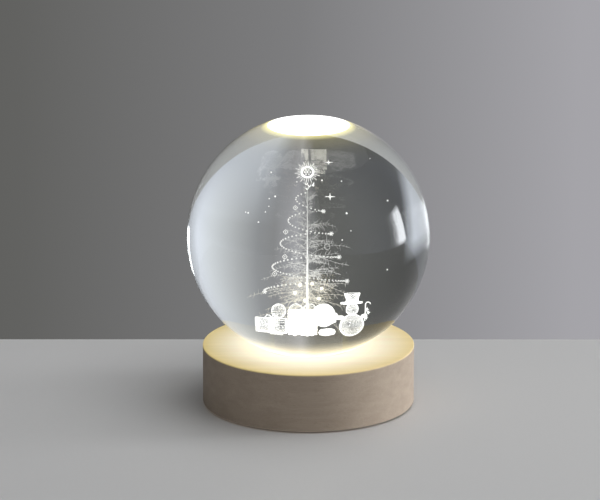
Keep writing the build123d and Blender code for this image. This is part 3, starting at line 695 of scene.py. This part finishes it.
def crossed(at, x, y):
    """True on the hat's crossed lines."""
    turn = math.atan2(at.y - y, at.x - x) / math.pi * 7
    up = at.z / 0.55
    return (turn + up) % 1 < 0.34 or (turn - up) % 1 < 0.34


class LAMP_OT_gifts(bpy.types.Operator):
    """Engraves the gifts, their ribbons and bows"""
    bl_idname = "lamp.gifts"
    bl_label = "Gifts"

    def execute(self, context):
        settings = context.scene.lamp_engraving
        # Painted light: the big gift's marks glow much more brightly than the other parcels
        brightest_glow = laser_marks("laser_marks_gifts", (1.0, 0.97, 0.86), 8.5 * settings.strength)
        plain = laser_marks("laser_marks_parcels", settings.colour, 1.9 * settings.strength)
        self.big_parcel().piece("engraved_big_gift", brightest_glow)
        self.parcels().piece("engraved_gifts", plain, "gifts")
        self.ribbons().piece("engraved_ribbons", plain, "gift_ribbons")
        return {"FINISHED"}

    def big_parcel(self):
        """The large box in the middle, the brightest of all."""
        work = Engraving(69)
        foot, size = big_gift[:3], big_gift[3:]
        work.strew(box_surface(foot, size, 0.22), 0.1)
        self.edges(work, foot, size)
        for number in range(3):
            x = foot[0] + (number - 1) * size[0] / 3
            work.strew(round_surface((x, foot[1] - size[1] / 2 + 0.5, foot[2] + 0.25), 0.9, 4), 0.085)
        return work

    def parcels(self):
        work = Engraving(67)
        work.strew(box_surface(long_gift[:3], long_gift[3:], 0.25), 0.085,
                   lambda at: not (-6.5 < at.x < -5.3 and (at.z * 1.7) % 1 < 0.45))
        self.edges(work, long_gift[:3], long_gift[3:])
        work.strew(round_surface((3.1, 1.2, -17.2), 2.35, 5), 0.08)
        for number in range(5):
            work.strew(round_surface((3.6 + 0.45 * number, -0.6, -19.3 + 0.22 * number), 0.34, 2), 0.1)
        drum = even([(0.05, -0.45), (1.75, -0.45), (1.95, 0), (1.75, 0.45), (0.05, 0.45)], 0.2)
        work.strew(turned_surface((4.3, -6.6, -21.4), drum, 60, 22), 0.08)
        work.strew(round_surface((-6.2, 0.6, -16.3), 1.5, 4), 0.07, lambda at: (at.z * 2.4) % 1 < 0.55)
        work.hoop(-6.2, 0.6, -16.3, 1.45, 0.08)
        return work

    def edges(self, work, foot, size):
        """Bright rows along a box's twelve edges."""
        half = [size[0] / 2, size[1] / 2]
        low, high = foot[2], foot[2] + size[2]
        ring = [(foot[0] + sx * half[0], foot[1] + sy * half[1])
                for sx, sy in ((-1, -1), (1, -1), (1, 1), (-1, 1), (-1, -1))]
        for height in (low, high):
            work.row([(x, y, height) for x, y in ring], 0.085, 0.14)
        for x, y in ring[:4]:
            work.row([(x, y, low), (x, y, high)], 0.085, 0.14)

    def ribbons(self):
        work = Engraving(71)
        for box, bow in ((big_gift, 1.55), (long_gift, 0.75)):
            x, y, foot, width, depth, height = box
            for side in (-0.45, -0.15, 0.15, 0.45):
                front, back = y - depth / 2 - 0.18, y + depth / 2 + 0.18
                work.row([(x + side, front, foot), (x + side, front, foot + height + 0.18),
                          (x + side, back, foot + height + 0.18), (x + side, back, foot)], 0.085, 0.15)
            for side in (-1, 1):
                for wide, high, size in ((1.0, 1.0, 0.09), (0.88, 0.8, 0.06)):
                    arch = [(x + side * bow * wide * (1 - math.cos(turn * math.pi / 16)), y,
                             foot + height + bow * high * math.sin(turn * math.pi / 16)) for turn in range(17)]
                    work.row(arch, size, 0.12)
        count = 7
        for number in range(count):
            x = big_gift[0] + (number - (count - 1) / 2) * 0.95
            work.bead(x, big_gift[1] - big_gift[4] / 2 - 0.2, big_gift[2] + 0.1, 0.2)
        for number in range(4):
            work.hoop(long_gift[0] - 0.4 + number * 0.8, long_gift[1] - 2.0, long_gift[2] - 0.5, 0.3, 0.09)
        return work


class BallSettings(bpy.types.PropertyGroup):
    steps_round: IntProperty(name="Steps round", description="Faces round the ball", default=320, min=24)
    steps_up: IntProperty(name="Steps up", description="Faces from one flat to the other", default=150, min=12)
    tint: FloatVectorProperty(name="Tint", description="Colour of the glass", subtype="COLOR",
                              default=(0.96, 0.985, 0.965))
    # Painted light: the colours of the glow in the glass at the edges of the two flats
    fringe: FloatVectorProperty(name="Fringe", description="Light at the edge of the upper flat",
                                subtype="COLOR", default=(0.75, 0.68, 0.25))
    foot_fringe: FloatVectorProperty(name="Foot fringe", description="Light at the edge of the lower flat",
                                     subtype="COLOR", default=(0.85, 0.8, 0.6))
    index: FloatProperty(name="Index", description="Refractive index of the glass", default=1.52)


class LAMP_OT_glass_ball(bpy.types.Operator):
    """Adds the glass ball with its two ground flats"""
    bl_idname = "lamp.glass_ball"
    bl_label = "Glass ball"

    def execute(self, context):
        settings = context.scene.lamp_ball
        shape = bmesh.new()
        half_angle = math.asin(flat_rise / ball_radius)
        start = shape.verts.new(centre + Vector((flat_radius, 0, -flat_rise)))
        bmesh.ops.spin(shape, geom=[start], cent=centre, axis=(0, -1, 0), angle=2 * half_angle,
                       steps=settings.steps_up)
        profile = shape.edges[:]
        bmesh.ops.spin(shape, geom=profile, cent=centre, axis=(0, 0, 1), angle=2 * math.pi,
                       steps=settings.steps_round, use_merge=True)
        bmesh.ops.remove_doubles(shape, verts=shape.verts, dist=1e-7)
        rims = [edge for edge in shape.edges if edge.is_boundary]
        for face in shape.faces:
            face.smooth = True
        for edge in rims:
            edge.smooth = False
        for number, side in ((1, 1), (2, -1)):
            rim = [edge for edge in rims if (edge.verts[0].co.z - centre.z) * side > 0]
            for face in bmesh.ops.contextual_create(shape, geom=rim)["faces"]:
                face.smooth = False
                face.material_index = number
        bmesh.ops.recalc_face_normals(shape, faces=shape.faces)
        finish_piece("glass_ball", shape, [clear_glass(settings), ground_glass(True), ground_glass(False)],
                     "ball", "crystal", "crystal_ball", smooth=False)
        return {"FINISHED"}


def clear_glass(settings):
    finish = Finish("clear_glass")
    smears = finish.noise(finish.place(), 60, 3, 0.6)
    rough = finish.ramp(smears, (0.55, 0.0), (0.75, 0.012))
    # Painted light: a glow in the glass next to both ground flats, fading away from each of them
    up = finish.axes(finish.place())[2]
    share = (up - ball_low.z) / (ball_high.z - ball_low.z)
    painted_flat_glow = finish.ramp(share, (0.0, tuple(settings.foot_fringe)), (0.04, (0.7, 0.62, 0.42)),
                          (0.075, (0.4, 0.34, 0.2)), (0.1, (0.14, 0.12, 0.07)), (0.125, (0, 0, 0)),
                          (0.88, (0, 0, 0)), (0.955, (0.012, 0.011, 0.004)),
                          (0.988, (0.07, 0.063, 0.02)), (1.0, tuple(settings.fringe)))
    return finish.done(finish.shader(Base_Color=tuple(settings.tint), Roughness=rough, IOR=settings.index,
                                     Transmission_Weight=1.0, Emission_Color=painted_flat_glow, Emission_Strength=1.0))


def ground_glass(lit):
    """A ground flat: the upper one shines outwards all over, the lower one at its rim."""
    finish = Finish("ground_flat_lit" if lit else "ground_flat")
    grain = finish.noise(finish.place(), 9000, 2)
    across, along, up = finish.axes(finish.place())
    away = (across * across + along * along) ** 0.5 / flat_radius
    rim = finish.ramp(away, (0.15, (0.09, 0.09, 0.075)), (0.6, (0.12, 0.115, 0.085)), (0.85, (0.3, 0.27, 0.18)),
                      (0.98, (0.8, 0.74, 0.52)))
    inside = finish.node("ShaderNodeNewGeometry", output="Backfacing")
    outwards = finish.mix(inside, (1.0, 0.99, 0.97), (0.2, 0.2, 0.2))
    return finish.done(finish.shader(
        Base_Color=(0.95, 0.95, 0.93) if lit else (0.04, 0.04, 0.037), Specular_IOR_Level=0.5 if lit else 0.0,
        Roughness=finish.ramp(grain, (0.3, 0.35), (0.7, 0.6)),
        Emission_Color=outwards if lit else rim, Emission_Strength=1.4 if lit else 1.0,
        Normal=finish.bump(grain, 0.00002)))


class BaseSettings(bpy.types.PropertyGroup):
    wood: FloatVectorProperty(name="Wood", description="Colour of the sanded wood", subtype="COLOR",
                              default=(0.43, 0.35, 0.275))
    wood_dark: FloatVectorProperty(name="Wood grain", description="Colour of the wood's darker lines",
                                   subtype="COLOR", default=(0.35, 0.28, 0.215))
    tray: FloatVectorProperty(name="Tray", description="Colour of the battery tray", subtype="COLOR",
                              default=(0.045, 0.045, 0.047))
    window_strength: FloatProperty(name="Window strength", description="How brightly the window shines",
                                   default=1.3, min=0)
    glow_near: FloatVectorProperty(name="Glow near", description="Light on the wood by the ball",
                                   subtype="COLOR", default=(0.87, 0.83, 0.64))
    glow_far: FloatVectorProperty(name="Glow far", description="Light on the wood at its edge",
                                  subtype="COLOR", default=(0.52, 0.41, 0.13))


def lit_wood(settings):
    """Beech cut along the board, and the lamp's warm light on its top."""
    finish = Finish("lit_wood")
    across, along, up = finish.axes(finish.place())
    fibres = finish.noise(finish.place((90, 2600, 2600)), 1.0, 3, 0.6)
    bands = finish.noise(finish.place((14, 260, 420)), 1.0, 2, 0.5, 0.4)
    flecks = finish.noise(finish.place((700, 5200, 3800)), 1.0, 1)
    grain = finish.ramp(bands * 0.5 + fibres * 0.5, (0.32, 0.0), (0.64, 1.0))
    colour = finish.mix(grain, tuple(settings.wood_dark), tuple(settings.wood))
    colour = finish.mix(finish.ramp(flecks, (0.64, 0.0), (0.76, 0.35)), colour, darker(settings.wood_dark, 0.6))
    away = (across * across + along * along) ** 0.5 / (wood_high.x - wood_low.x) * 2
    on_top = finish.ramp((up - (wood_high.z - 0.6 * mm)) / (0.5 * mm), (0.0, 0.0), (1.0, 1.0))
    near, far = tuple(settings.glow_near), tuple(settings.glow_far)
    light = finish.ramp(away, (0.36, near), (0.52, near), (0.7, darker(near, 0.8)), (1.0, far))
    light = finish.mix(grain * 0.4, finish.scaled(light, 0.86), light)
    light = finish.mix(on_top, (0, 0, 0), light)
    return finish.done(finish.shader(
        Base_Color=colour, Roughness=finish.ramp(fibres, (0.3, 0.55), (0.7, 0.72)),
        Emission_Color=light, Emission_Strength=1.0, Normal=finish.bump(fibres, 0.00004, 0.5)))


class LAMP_OT_wooden_base(bpy.types.Operator):
    """Gives the wooden base its grain and the lamp's light on it"""
    bl_idname = "lamp.wooden_base"
    bl_label = "Wooden base"

    def execute(self, context):
        dress("wood_base", lit_wood(context.scene.lamp_base))
        return {"FINISHED"}


def darker(colour, share):
    return tuple(share * part for part in colour)


def moulded(name, colour, rough=0.5, grain=1800.0, depth=0.03):
    """Moulded plastic or rubber with a fine even texture; the depth is in millimetres."""
    finish = Finish(name)
    skin = finish.noise(finish.place(), grain, 2)
    cloud = finish.noise(finish.place(), 90, 2)
    shade = finish.mix(finish.ramp(cloud, (0.35, 0.0), (0.65, 1.0)), darker(colour, 0.85), colour)
    return finish.done(finish.shader(
        Base_Color=shade, Roughness=finish.ramp(skin, (0.3, rough - 0.06), (0.7, rough + 0.08)),
        Normal=finish.bump(skin, depth * mm)))


def plated(name, colour, rough=0.3, scale=(300, 300, 3000)):
    """Plated or bare metal with fine drawn lines."""
    finish = Finish(name)
    lines = finish.noise(finish.place(scale), 1.0, 2)
    spots = finish.noise(finish.place(), 700, 2)
    shade = finish.mix(finish.ramp(spots, (0.4, 0.0), (0.7, 1.0)), colour, darker(colour, 0.8))
    return finish.done(finish.shader(
        Base_Color=shade, Metallic=1.0, Roughness=finish.ramp(lines, (0.3, rough - 0.08), (0.7, rough + 0.12)),
        Normal=finish.bump(lines, 0.00001)))


def insulation(name, colour):
    """A wire's smooth sheath, a little rubbed."""
    finish = Finish(name)
    rub = finish.noise(finish.place(), 400, 3)
    shade = finish.mix(finish.ramp(rub, (0.45, 0.0), (0.75, 1.0)), colour, tuple(0.8 * c + 0.06 for c in colour))
    return finish.done(finish.shader(Base_Color=shade, Roughness=finish.ramp(rub, (0.3, 0.32), (0.7, 0.5)),
                                     Normal=finish.bump(rub, 0.00002)))


def within(value, low, high):
    """1 where a value lies between two."""
    return value.math("MULTIPLY", value.math("GREATER_THAN", value, low), value.math("LESS_THAN", value, high))


def cell_sleeve(nub_side):
    """A printed sleeve with a coppery band towards the nub, and bare ends."""
    finish = Finish("cell_sleeve_right" if nub_side > 0 else "cell_sleeve_left")
    along, across, up = finish.axes(finish.place())
    cloud = finish.noise(finish.place(), 250, 2)
    blue = finish.mix(cloud, (0.1, 0.22, 0.36), (0.13, 0.26, 0.42))
    band = within(along * nub_side, 10 * mm, 20.9 * mm)
    pale = within(along * nub_side, 9.2 * mm, 10 * mm)
    sleeve = finish.mix(pale, finish.mix(band, blue, (0.62, 0.34, 0.16)), (0.8, 0.8, 0.78))
    bare = along.math("GREATER_THAN", along.math("ABSOLUTE", along + 0.4 * mm * nub_side), 21.3 * mm)
    return finish.done(finish.shader(
        Base_Color=finish.mix(bare, sleeve, (0.72, 0.72, 0.7)), Metallic=bare,
        Roughness=finish.ramp(cloud, (0.3, 0.26), (0.7, 0.38)), Coat_Weight=0.2,
        Normal=finish.bump(cloud, 0.00001)))


def window_acrylic(settings):
    """Frosted acrylic, brightest over the six diodes."""
    finish = Finish("frosted_window")
    x, y, z = finish.axes(finish.place())
    frost = finish.noise(finish.place(), 5000, 2)
    spot = None
    for number in range(6):
        turn = number * math.pi / 3
        dx, dy = x - 5.98 * mm * math.cos(turn), y - 5.98 * mm * math.sin(turn)
        near = x.math("EXPONENT", (dx * dx + dy * dy) / -(2.6 * mm) ** 2)
        spot = near if spot is None else spot + near
    light = finish.mix(finish.ramp(spot, (0.0, 0.0), (1.0, 1.0)), (0.86, 0.76, 0.5), (1.0, 0.98, 0.88))
    return finish.done(finish.shader(
        Base_Color=(0.93, 0.92, 0.88), Roughness=finish.ramp(frost, (0.3, 0.45), (0.7, 0.65)),
        Emission_Color=light, Emission_Strength=settings.window_strength, Normal=finish.bump(frost, 0.00001)))


def board_mask():
    """White solder mask with a ring track."""
    finish = Finish("board")
    x, y, z = finish.axes(finish.place())
    away = (x * x + y * y) ** 0.5
    track = within(away, 4.4 * mm, 7.6 * mm)
    grain = finish.noise(finish.place(), 800, 2)
    base = finish.mix(grain, (0.8, 0.81, 0.8), (0.86, 0.87, 0.86))
    colour = finish.mix(track * 0.5, base, (0.7, 0.68, 0.6))
    return finish.done(finish.shader(Base_Color=colour, Roughness=finish.ramp(grain, (0.3, 0.35), (0.7, 0.5)),
                                     Normal=finish.bump(track, 0.00002)))


def diode_body():
    """A white body with a glowing yellow lens."""
    finish = Finish("diode")
    low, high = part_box("diodes")
    up = finish.axes(finish.place())[2]
    lens = up.math("GREATER_THAN", up, high.z - 0.2 * mm)
    grain = finish.noise(finish.place(), 3000, 2)
    colour = finish.mix(lens, (0.9, 0.9, 0.88), (0.9, 0.72, 0.2))
    light = finish.mix(lens, (0.25, 0.22, 0.12), (1.0, 0.86, 0.5))
    return finish.done(finish.shader(Base_Color=colour, Roughness=finish.ramp(grain, (0.3, 0.3), (0.7, 0.45)),
                                     Emission_Color=light, Emission_Strength=1.0))


def chip_resistor():
    """A black chip with tinned ends."""
    finish = Finish("resistor")
    low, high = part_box("resistor")
    along = finish.axes(finish.place())[0]
    ends = along.math("GREATER_THAN", along.math("ABSOLUTE", along), high.x - 0.5 * mm)
    grain = finish.noise(finish.place(), 2500, 2)
    return finish.done(finish.shader(
        Base_Color=finish.mix(ends, finish.mix(grain, (0.03, 0.03, 0.035), (0.06, 0.06, 0.065)), (0.75, 0.75, 0.74)),
        Metallic=ends, Roughness=finish.ramp(grain, (0.3, 0.3), (0.7, 0.5))))


def rocker_plastic():
    """Satin black with white paint in the two marks of its face."""
    finish = Finish("rocker_plastic")
    joint = next(joint for joint in frame["joints"] if joint["name"] == "switch_rocker_pivot")
    turn = math.radians(10)
    pin = Vector(joint["pos_m"])
    moved = finish.node("ShaderNodeVectorMath", {"operation": "SUBTRACT"},
                        {0: finish.node("ShaderNodeTexCoord", output="Object"), 1: tuple(pin)})
    local = finish.node("ShaderNodeVectorRotate", {"rotation_type": "Z_AXIS"}, {"Vector": moved, "Angle": -turn})
    x, y, z = finish.axes(local)
    half, front, dish = 5.2 * mm, 2.4 * mm, 0.9 * mm
    sunk = x.math("ABSOLUTE", x) * (dish / half) + (front - dish) - y
    recess = within(sunk, 0.1 * mm, 0.3 * mm)
    bar = within(x, half / 2 - 0.3 * mm, half / 2 + 0.3 * mm) * within(z, -1.3 * mm, 1.3 * mm)
    off_ring = ((x + half / 2) * (x + half / 2) + z * z) ** 0.5
    paint = recess * (bar + within(off_ring, 0.5 * mm, 1.1 * mm))
    skin = finish.noise(finish.place(), 1500, 2)
    return finish.done(finish.shader(
        Base_Color=finish.mix(paint, (0.028, 0.028, 0.03), (0.85, 0.85, 0.84)),
        Roughness=finish.ramp(skin, (0.3, 0.28), (0.7, 0.4)), Normal=finish.bump(skin, 0.00001)))


class LAMP_OT_light_source(bpy.types.Operator):
    """Dresses the window, the reflector, the board and what is on it"""
    bl_idname = "lamp.light_source"
    bl_label = "Light source"

    def execute(self, context):
        dress("light_window", window_acrylic(context.scene.lamp_base))
        dress("reflector_ring", moulded("white_plastic", (0.86, 0.86, 0.85), 0.4, 1500, 0.01))
        dress("diode_board", board_mask())
        dress("diodes", diode_body())
        dress("resistor", chip_resistor())
        return {"FINISHED"}


class LAMP_OT_battery_bay(bpy.types.Operator):
    """Dresses the tray, its door, the cells and their contacts"""
    bl_idname = "lamp.battery_bay"
    bl_label = "Battery bay"

    def execute(self, context):
        shade = tuple(context.scene.lamp_base.tray)
        black = moulded("tray_plastic", shade, 0.55, 1500, 0.05)
        dress("battery_tray", black)
        dress("battery_door", moulded("door_plastic", tuple(1.25 * part for part in shade), 0.5, 1900, 0.04))
        for number, side in ((1, 1), (2, -1), (3, 1)):
            dress(f"battery_cell_{number}", cell_sleeve(side))
        nickel = plated("contact_steel", (0.74, 0.73, 0.7), 0.28)
        for name in ("contact_negative", "contact_positive", "contact_bridge_left", "contact_bridge_right"):
            dress(name, nickel)
        return {"FINISHED"}


class LAMP_OT_switch(bpy.types.Operator):
    """Dresses the rocker switch, its terminals and the leads inside the base"""
    bl_idname = "lamp.switch"
    bl_label = "Switch and leads"

    def execute(self, context):
        dress("switch_housing", moulded("switch_plastic", (0.03, 0.03, 0.032), 0.42, 1700, 0.02))
        dress("switch_rocker", rocker_plastic())
        dress("switch_terminals", plated("terminal_brass", (0.75, 0.56, 0.24), 0.3))
        red = insulation("red_wire", (0.5, 0.03, 0.025))
        dress("switch_lead", red)
        dress("board_lead", red)
        dress("return_lead", insulation("black_wire", (0.02, 0.02, 0.02)))
        return {"FINISHED"}


class LAMP_OT_feet_and_screws(bpy.types.Operator):
    """Dresses the rubber feet and the screws of the underside"""
    bl_idname = "lamp.feet_and_screws"
    bl_label = "Feet and screws"

    def execute(self, context):
        dress("rubber_feet", moulded("rubber", (0.09, 0.09, 0.093), 0.8, 2600, 0.04))
        dress("chassis_screws", plated("screw_steel", (0.62, 0.62, 0.64), 0.32))
        return {"FINISHED"}


class StageSettings(bpy.types.PropertyGroup):
    distance: FloatProperty(name="Distance", description="From the camera to the lamp", default=1.5,
                            unit="LENGTH")
    elevation: FloatProperty(name="Elevation", description="Camera's angle above the table",
                             default=math.radians(16.05), subtype="ANGLE")
    aim_x: FloatProperty(name="Aim across", description="Point across that the camera looks at",
                         default=-2.8 * mm, unit="LENGTH")
    aim_z: FloatProperty(name="Aim height", description="Height that the camera looks at",
                         default=52.1 * mm, unit="LENGTH")
    lens_pixels: FloatProperty(name="Lens", description="Focal length in picture widths times 600",
                               default=4555.0)
    table_edge: FloatProperty(name="Table edge", description="Distance of the table's far edge",
                              default=69 * mm, unit="LENGTH")
    table_colour: FloatVectorProperty(name="Table", description="Colour of the table top", subtype="COLOR",
                                      default=(0.62, 0.62, 0.62))
    backdrop_left: FloatVectorProperty(name="Backdrop left", description="Colour behind the table on the left",
                                       subtype="COLOR", default=(0.119, 0.119, 0.114))
    backdrop_right: FloatVectorProperty(name="Backdrop right", description="Colour behind it on the right",
                                        subtype="COLOR", default=(0.385, 0.38, 0.405))
    window_colour: FloatVectorProperty(name="Window", description="Light from the far right",
                                       subtype="COLOR", default=(0.86, 0.9, 1.0))
    room_light: FloatProperty(name="Room light", description="Level of the light from all round",
                              default=0.5, min=0)


def lamp_light(name, place, aim, size, power, colour=(1, 1, 1)):
    """A rectangular soft light that faces a point; the glass doesn't show it."""
    light = bpy.data.lights.new(name, "AREA")
    light.shape = "RECTANGLE"
    light.size, light.size_y = size
    light.energy = power
    light.color = colour
    holder = bpy.data.objects.new(name, light)
    bpy.context.scene.collection.objects.link(holder)
    holder.visible_glossy = False
    holder.visible_transmission = False
    holder.location = place
    holder.rotation_euler = (Vector(aim) - Vector(place)).to_track_quat("-Z", "Y").to_euler()
    return holder


class LAMP_OT_studio(bpy.types.Operator):
    """Adds the table, the backdrop, the lights and the camera"""
    bl_idname = "lamp.studio"
    bl_label = "Studio"

    def execute(self, context):
        settings = context.scene.lamp_stage
        scene = context.scene
        scene.view_settings.view_transform = "Standard"
        camera = bpy.data.cameras.new("camera")
        camera.sensor_width = 36
        camera.lens = settings.lens_pixels / 600 * camera.sensor_width
        camera.clip_start = 0.01
        camera.clip_end = 20
        holder = bpy.data.objects.new("camera", camera)
        scene.collection.objects.link(holder)
        aim = Vector((settings.aim_x, 0, settings.aim_z))
        away = Vector((0, -math.cos(settings.elevation), math.sin(settings.elevation)))
        holder.location = aim + away * settings.distance
        holder.rotation_euler = (-away).to_track_quat("-Z", "Y").to_euler()
        scene.camera = holder

        top = bmesh.new()
        bmesh.ops.create_grid(top, x_segments=1, y_segments=1, size=0.5)
        bmesh.ops.transform(top, matrix=Matrix.Translation((0, settings.table_edge - 0.5, 0)), verts=top.verts)
        mesh = bpy.data.meshes.new("table")
        top.to_mesh(mesh)
        top.free()
        mesh.materials.append(table_top(settings))
        table = bpy.data.objects.new("table", mesh)
        scene.collection.objects.link(table)

        scene.world = surroundings(settings)
        cool = (0.95, 0.97, 1.0)
        lamp_light("window", (0.72, 0.07, 0.12), (0, 0, 0.055), (0.2, 0.24), 2.2, cool)
        lamp_light("top", (0.25, -0.1, 0.9), (0, 0, 0.02), (0.7, 0.7), 3.5)
        below = lamp_light("below", (0, 0, -0.7), (0, 0, 0), (0.3, 0.3), 1.5)
        below.visible_glossy = True
        lit = bpy.data.collections.new("underside")
        for node in underside:
            lit.objects.link(frame["nodes"][node])
        below.light_linking.receiver_collection = lit
        casting = bpy.data.collections.new("casting")
        for node in frame["nodes"].values():
            casting.objects.link(node)
        below.light_linking.blocker_collection = casting
        return {"FINISHED"}


def table_top(settings):
    finish = Finish("table_top")
    grain = finish.noise(finish.place(), 900, 3)
    shader = finish.shader(Base_Color=tuple(settings.table_colour),
                           Roughness=finish.ramp(grain, (0.3, 0.5), (0.7, 0.6)))
    clear = finish.node("ShaderNodeBsdfTransparent")
    under = finish.node("ShaderNodeNewGeometry", output="Backfacing")
    return finish.done(finish.node("ShaderNodeMixShader", {}, {0: under, 1: shader, 2: clear}))


def surroundings(settings):
    """A grey backdrop with a window on the right where it is seen, and a plain soft light otherwise."""
    finish = Finish("surroundings", world=True)
    way = finish.node("ShaderNodeTexCoord", output="Generated")
    across, along, up = finish.axes(way)
    left, right = tuple(settings.backdrop_left), tuple(settings.backdrop_right)
    window = tuple(settings.window_colour)
    sideways, upwards = across * 0.5 + 0.5, up * 0.5 + 0.5
    round_about = across / (across * across + along * along) ** 0.5 * 0.5 + 0.5
    side = finish.ramp(round_about, (0.0, (0.03, 0.03, 0.03)), (0.14, (0.032, 0.032, 0.03)),
                       (0.28, (0.075, 0.075, 0.073)), (0.467, left), (0.5, (0.205, 0.205, 0.21)), (0.533, right),
                       (0.6, (0.26, 0.26, 0.27)), (0.65, (0.29, 0.295, 0.31)), (0.72, (0.44, 0.45, 0.47)),
                       (0.78, (0.57, 0.59, 0.62)), (0.85, (0.72, 0.75, 0.8)), (0.92, window))
    shelf = finish.ramp(sideways, (0.12, 1.0), (0.18, 0.0)) * finish.ramp(upwards, (0.42, 1.0), (0.5, 0.0))
    side = finish.mix(shelf, side, darker(window, 0.66))
    sill = finish.ramp(round_about, (0.56, 0.0), (0.68, 0.6)) * finish.ramp(upwards, (0.15, 1.0), (0.34, 0.0))
    side = finish.mix(sill, side, darker(window, 0.95))
    low = finish.ramp(upwards, (0.15, 0.75), (0.32, 1.0))
    seen = finish.node("ShaderNodeMix", {"data_type": "RGBA", "blend_type": "MULTIPLY"},
                       {0: 1.0, 6: side, 7: low}, 2)
    rays = finish.node("ShaderNodeLightPath").output.node.outputs
    direct, mirrored, through = (Value(finish, rays[name]) for name in
                                 ("Is Camera Ray", "Is Glossy Ray", "Is Transmission Ray"))
    shown = direct.math("MAXIMUM", direct.math("MAXIMUM", direct, mirrored), through)
    pane = finish.ramp(along + 0.5, (0.36, 0.0), (0.46, 0.08), (0.54, 0.4), (0.58, 1.0), (0.72, 1.0), (0.75, 0.0))
    pane = pane * finish.ramp(up + 0.5, (0.36, 0.0), (0.42, 1.0), (0.72, 1.0), (0.79, 0.0))
    pane = pane * finish.ramp(across, (0.6, 0.0), (0.7, 1.0)) * mirrored
    seen = finish.mix(pane, seen, (12.5, 12.9, 13.5))
    soft = finish.ramp(sideways, (0.15, 0.22), (0.85, 1.0))
    plain = finish.node("ShaderNodeBackground", {}, {"Color": soft, "Strength": settings.room_light})
    grey = finish.node("ShaderNodeBackground", {}, {"Color": seen, "Strength": 1.0})
    return finish.done(finish.node("ShaderNodeMixShader", {}, {0: shown, 1: plain, 2: grey}))


classes = (BallSettings, EngravingSettings, BaseSettings, StageSettings, LAMP_OT_glass_ball, LAMP_OT_tree,
           LAMP_OT_star, LAMP_OT_snowman, LAMP_OT_gifts, LAMP_OT_wooden_base,
           LAMP_OT_light_source, LAMP_OT_battery_bay, LAMP_OT_switch, LAMP_OT_feet_and_screws, LAMP_OT_studio)


class LAMP_PT_panel(bpy.types.Panel):
    """Shows the settings of the glass ball, the engraving, the base and the studio, each with its buttons"""
    bl_idname = "LAMP_PT_panel"
    bl_label = "Crystal ball lamp"
    bl_space_type = "VIEW_3D"
    bl_region_type = "UI"
    bl_category = "Lamp"

    def draw(self, context):
        scene = context.scene
        for title, settings, operators in (
                ("Glass ball", scene.lamp_ball, (LAMP_OT_glass_ball,)),
                ("Engraving", scene.lamp_engraving, (LAMP_OT_tree, LAMP_OT_star, LAMP_OT_snowman,
                                                     LAMP_OT_gifts)),
                ("Base", scene.lamp_base, (LAMP_OT_wooden_base, LAMP_OT_light_source, LAMP_OT_battery_bay,
                                           LAMP_OT_switch, LAMP_OT_feet_and_screws)),
                ("Studio", scene.lamp_stage, (LAMP_OT_studio,))):
            box = self.layout.box()
            box.label(text=title)
            for name in type(settings).__annotations__:
                box.prop(settings, name)
            for operator in operators:
                box.operator(operator.bl_idname)


classes += (LAMP_PT_panel,)


def register():
    for cls in classes:
        bpy.utils.register_class(cls)
    bpy.types.Scene.lamp_ball = PointerProperty(type=BallSettings)
    bpy.types.Scene.lamp_engraving = PointerProperty(type=EngravingSettings)
    bpy.types.Scene.lamp_base = PointerProperty(type=BaseSettings)
    bpy.types.Scene.lamp_stage = PointerProperty(type=StageSettings)


def unregister():
    del bpy.types.Scene.lamp_stage
    del bpy.types.Scene.lamp_base
    del bpy.types.Scene.lamp_engraving
    del bpy.types.Scene.lamp_ball
    for cls in reversed(classes):
        bpy.utils.unregister_class(cls)


def main():
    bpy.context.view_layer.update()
    register()
    bpy.ops.lamp.glass_ball()
    bpy.ops.lamp.tree()
    bpy.ops.lamp.star()
    bpy.ops.lamp.snowman()
    bpy.ops.lamp.gifts()
    bpy.ops.lamp.wooden_base()
    bpy.ops.lamp.light_source()
    bpy.ops.lamp.battery_bay()
    bpy.ops.lamp.switch()
    bpy.ops.lamp.feet_and_screws()
    bpy.ops.lamp.studio()


if __name__ == "__main__":
    main()
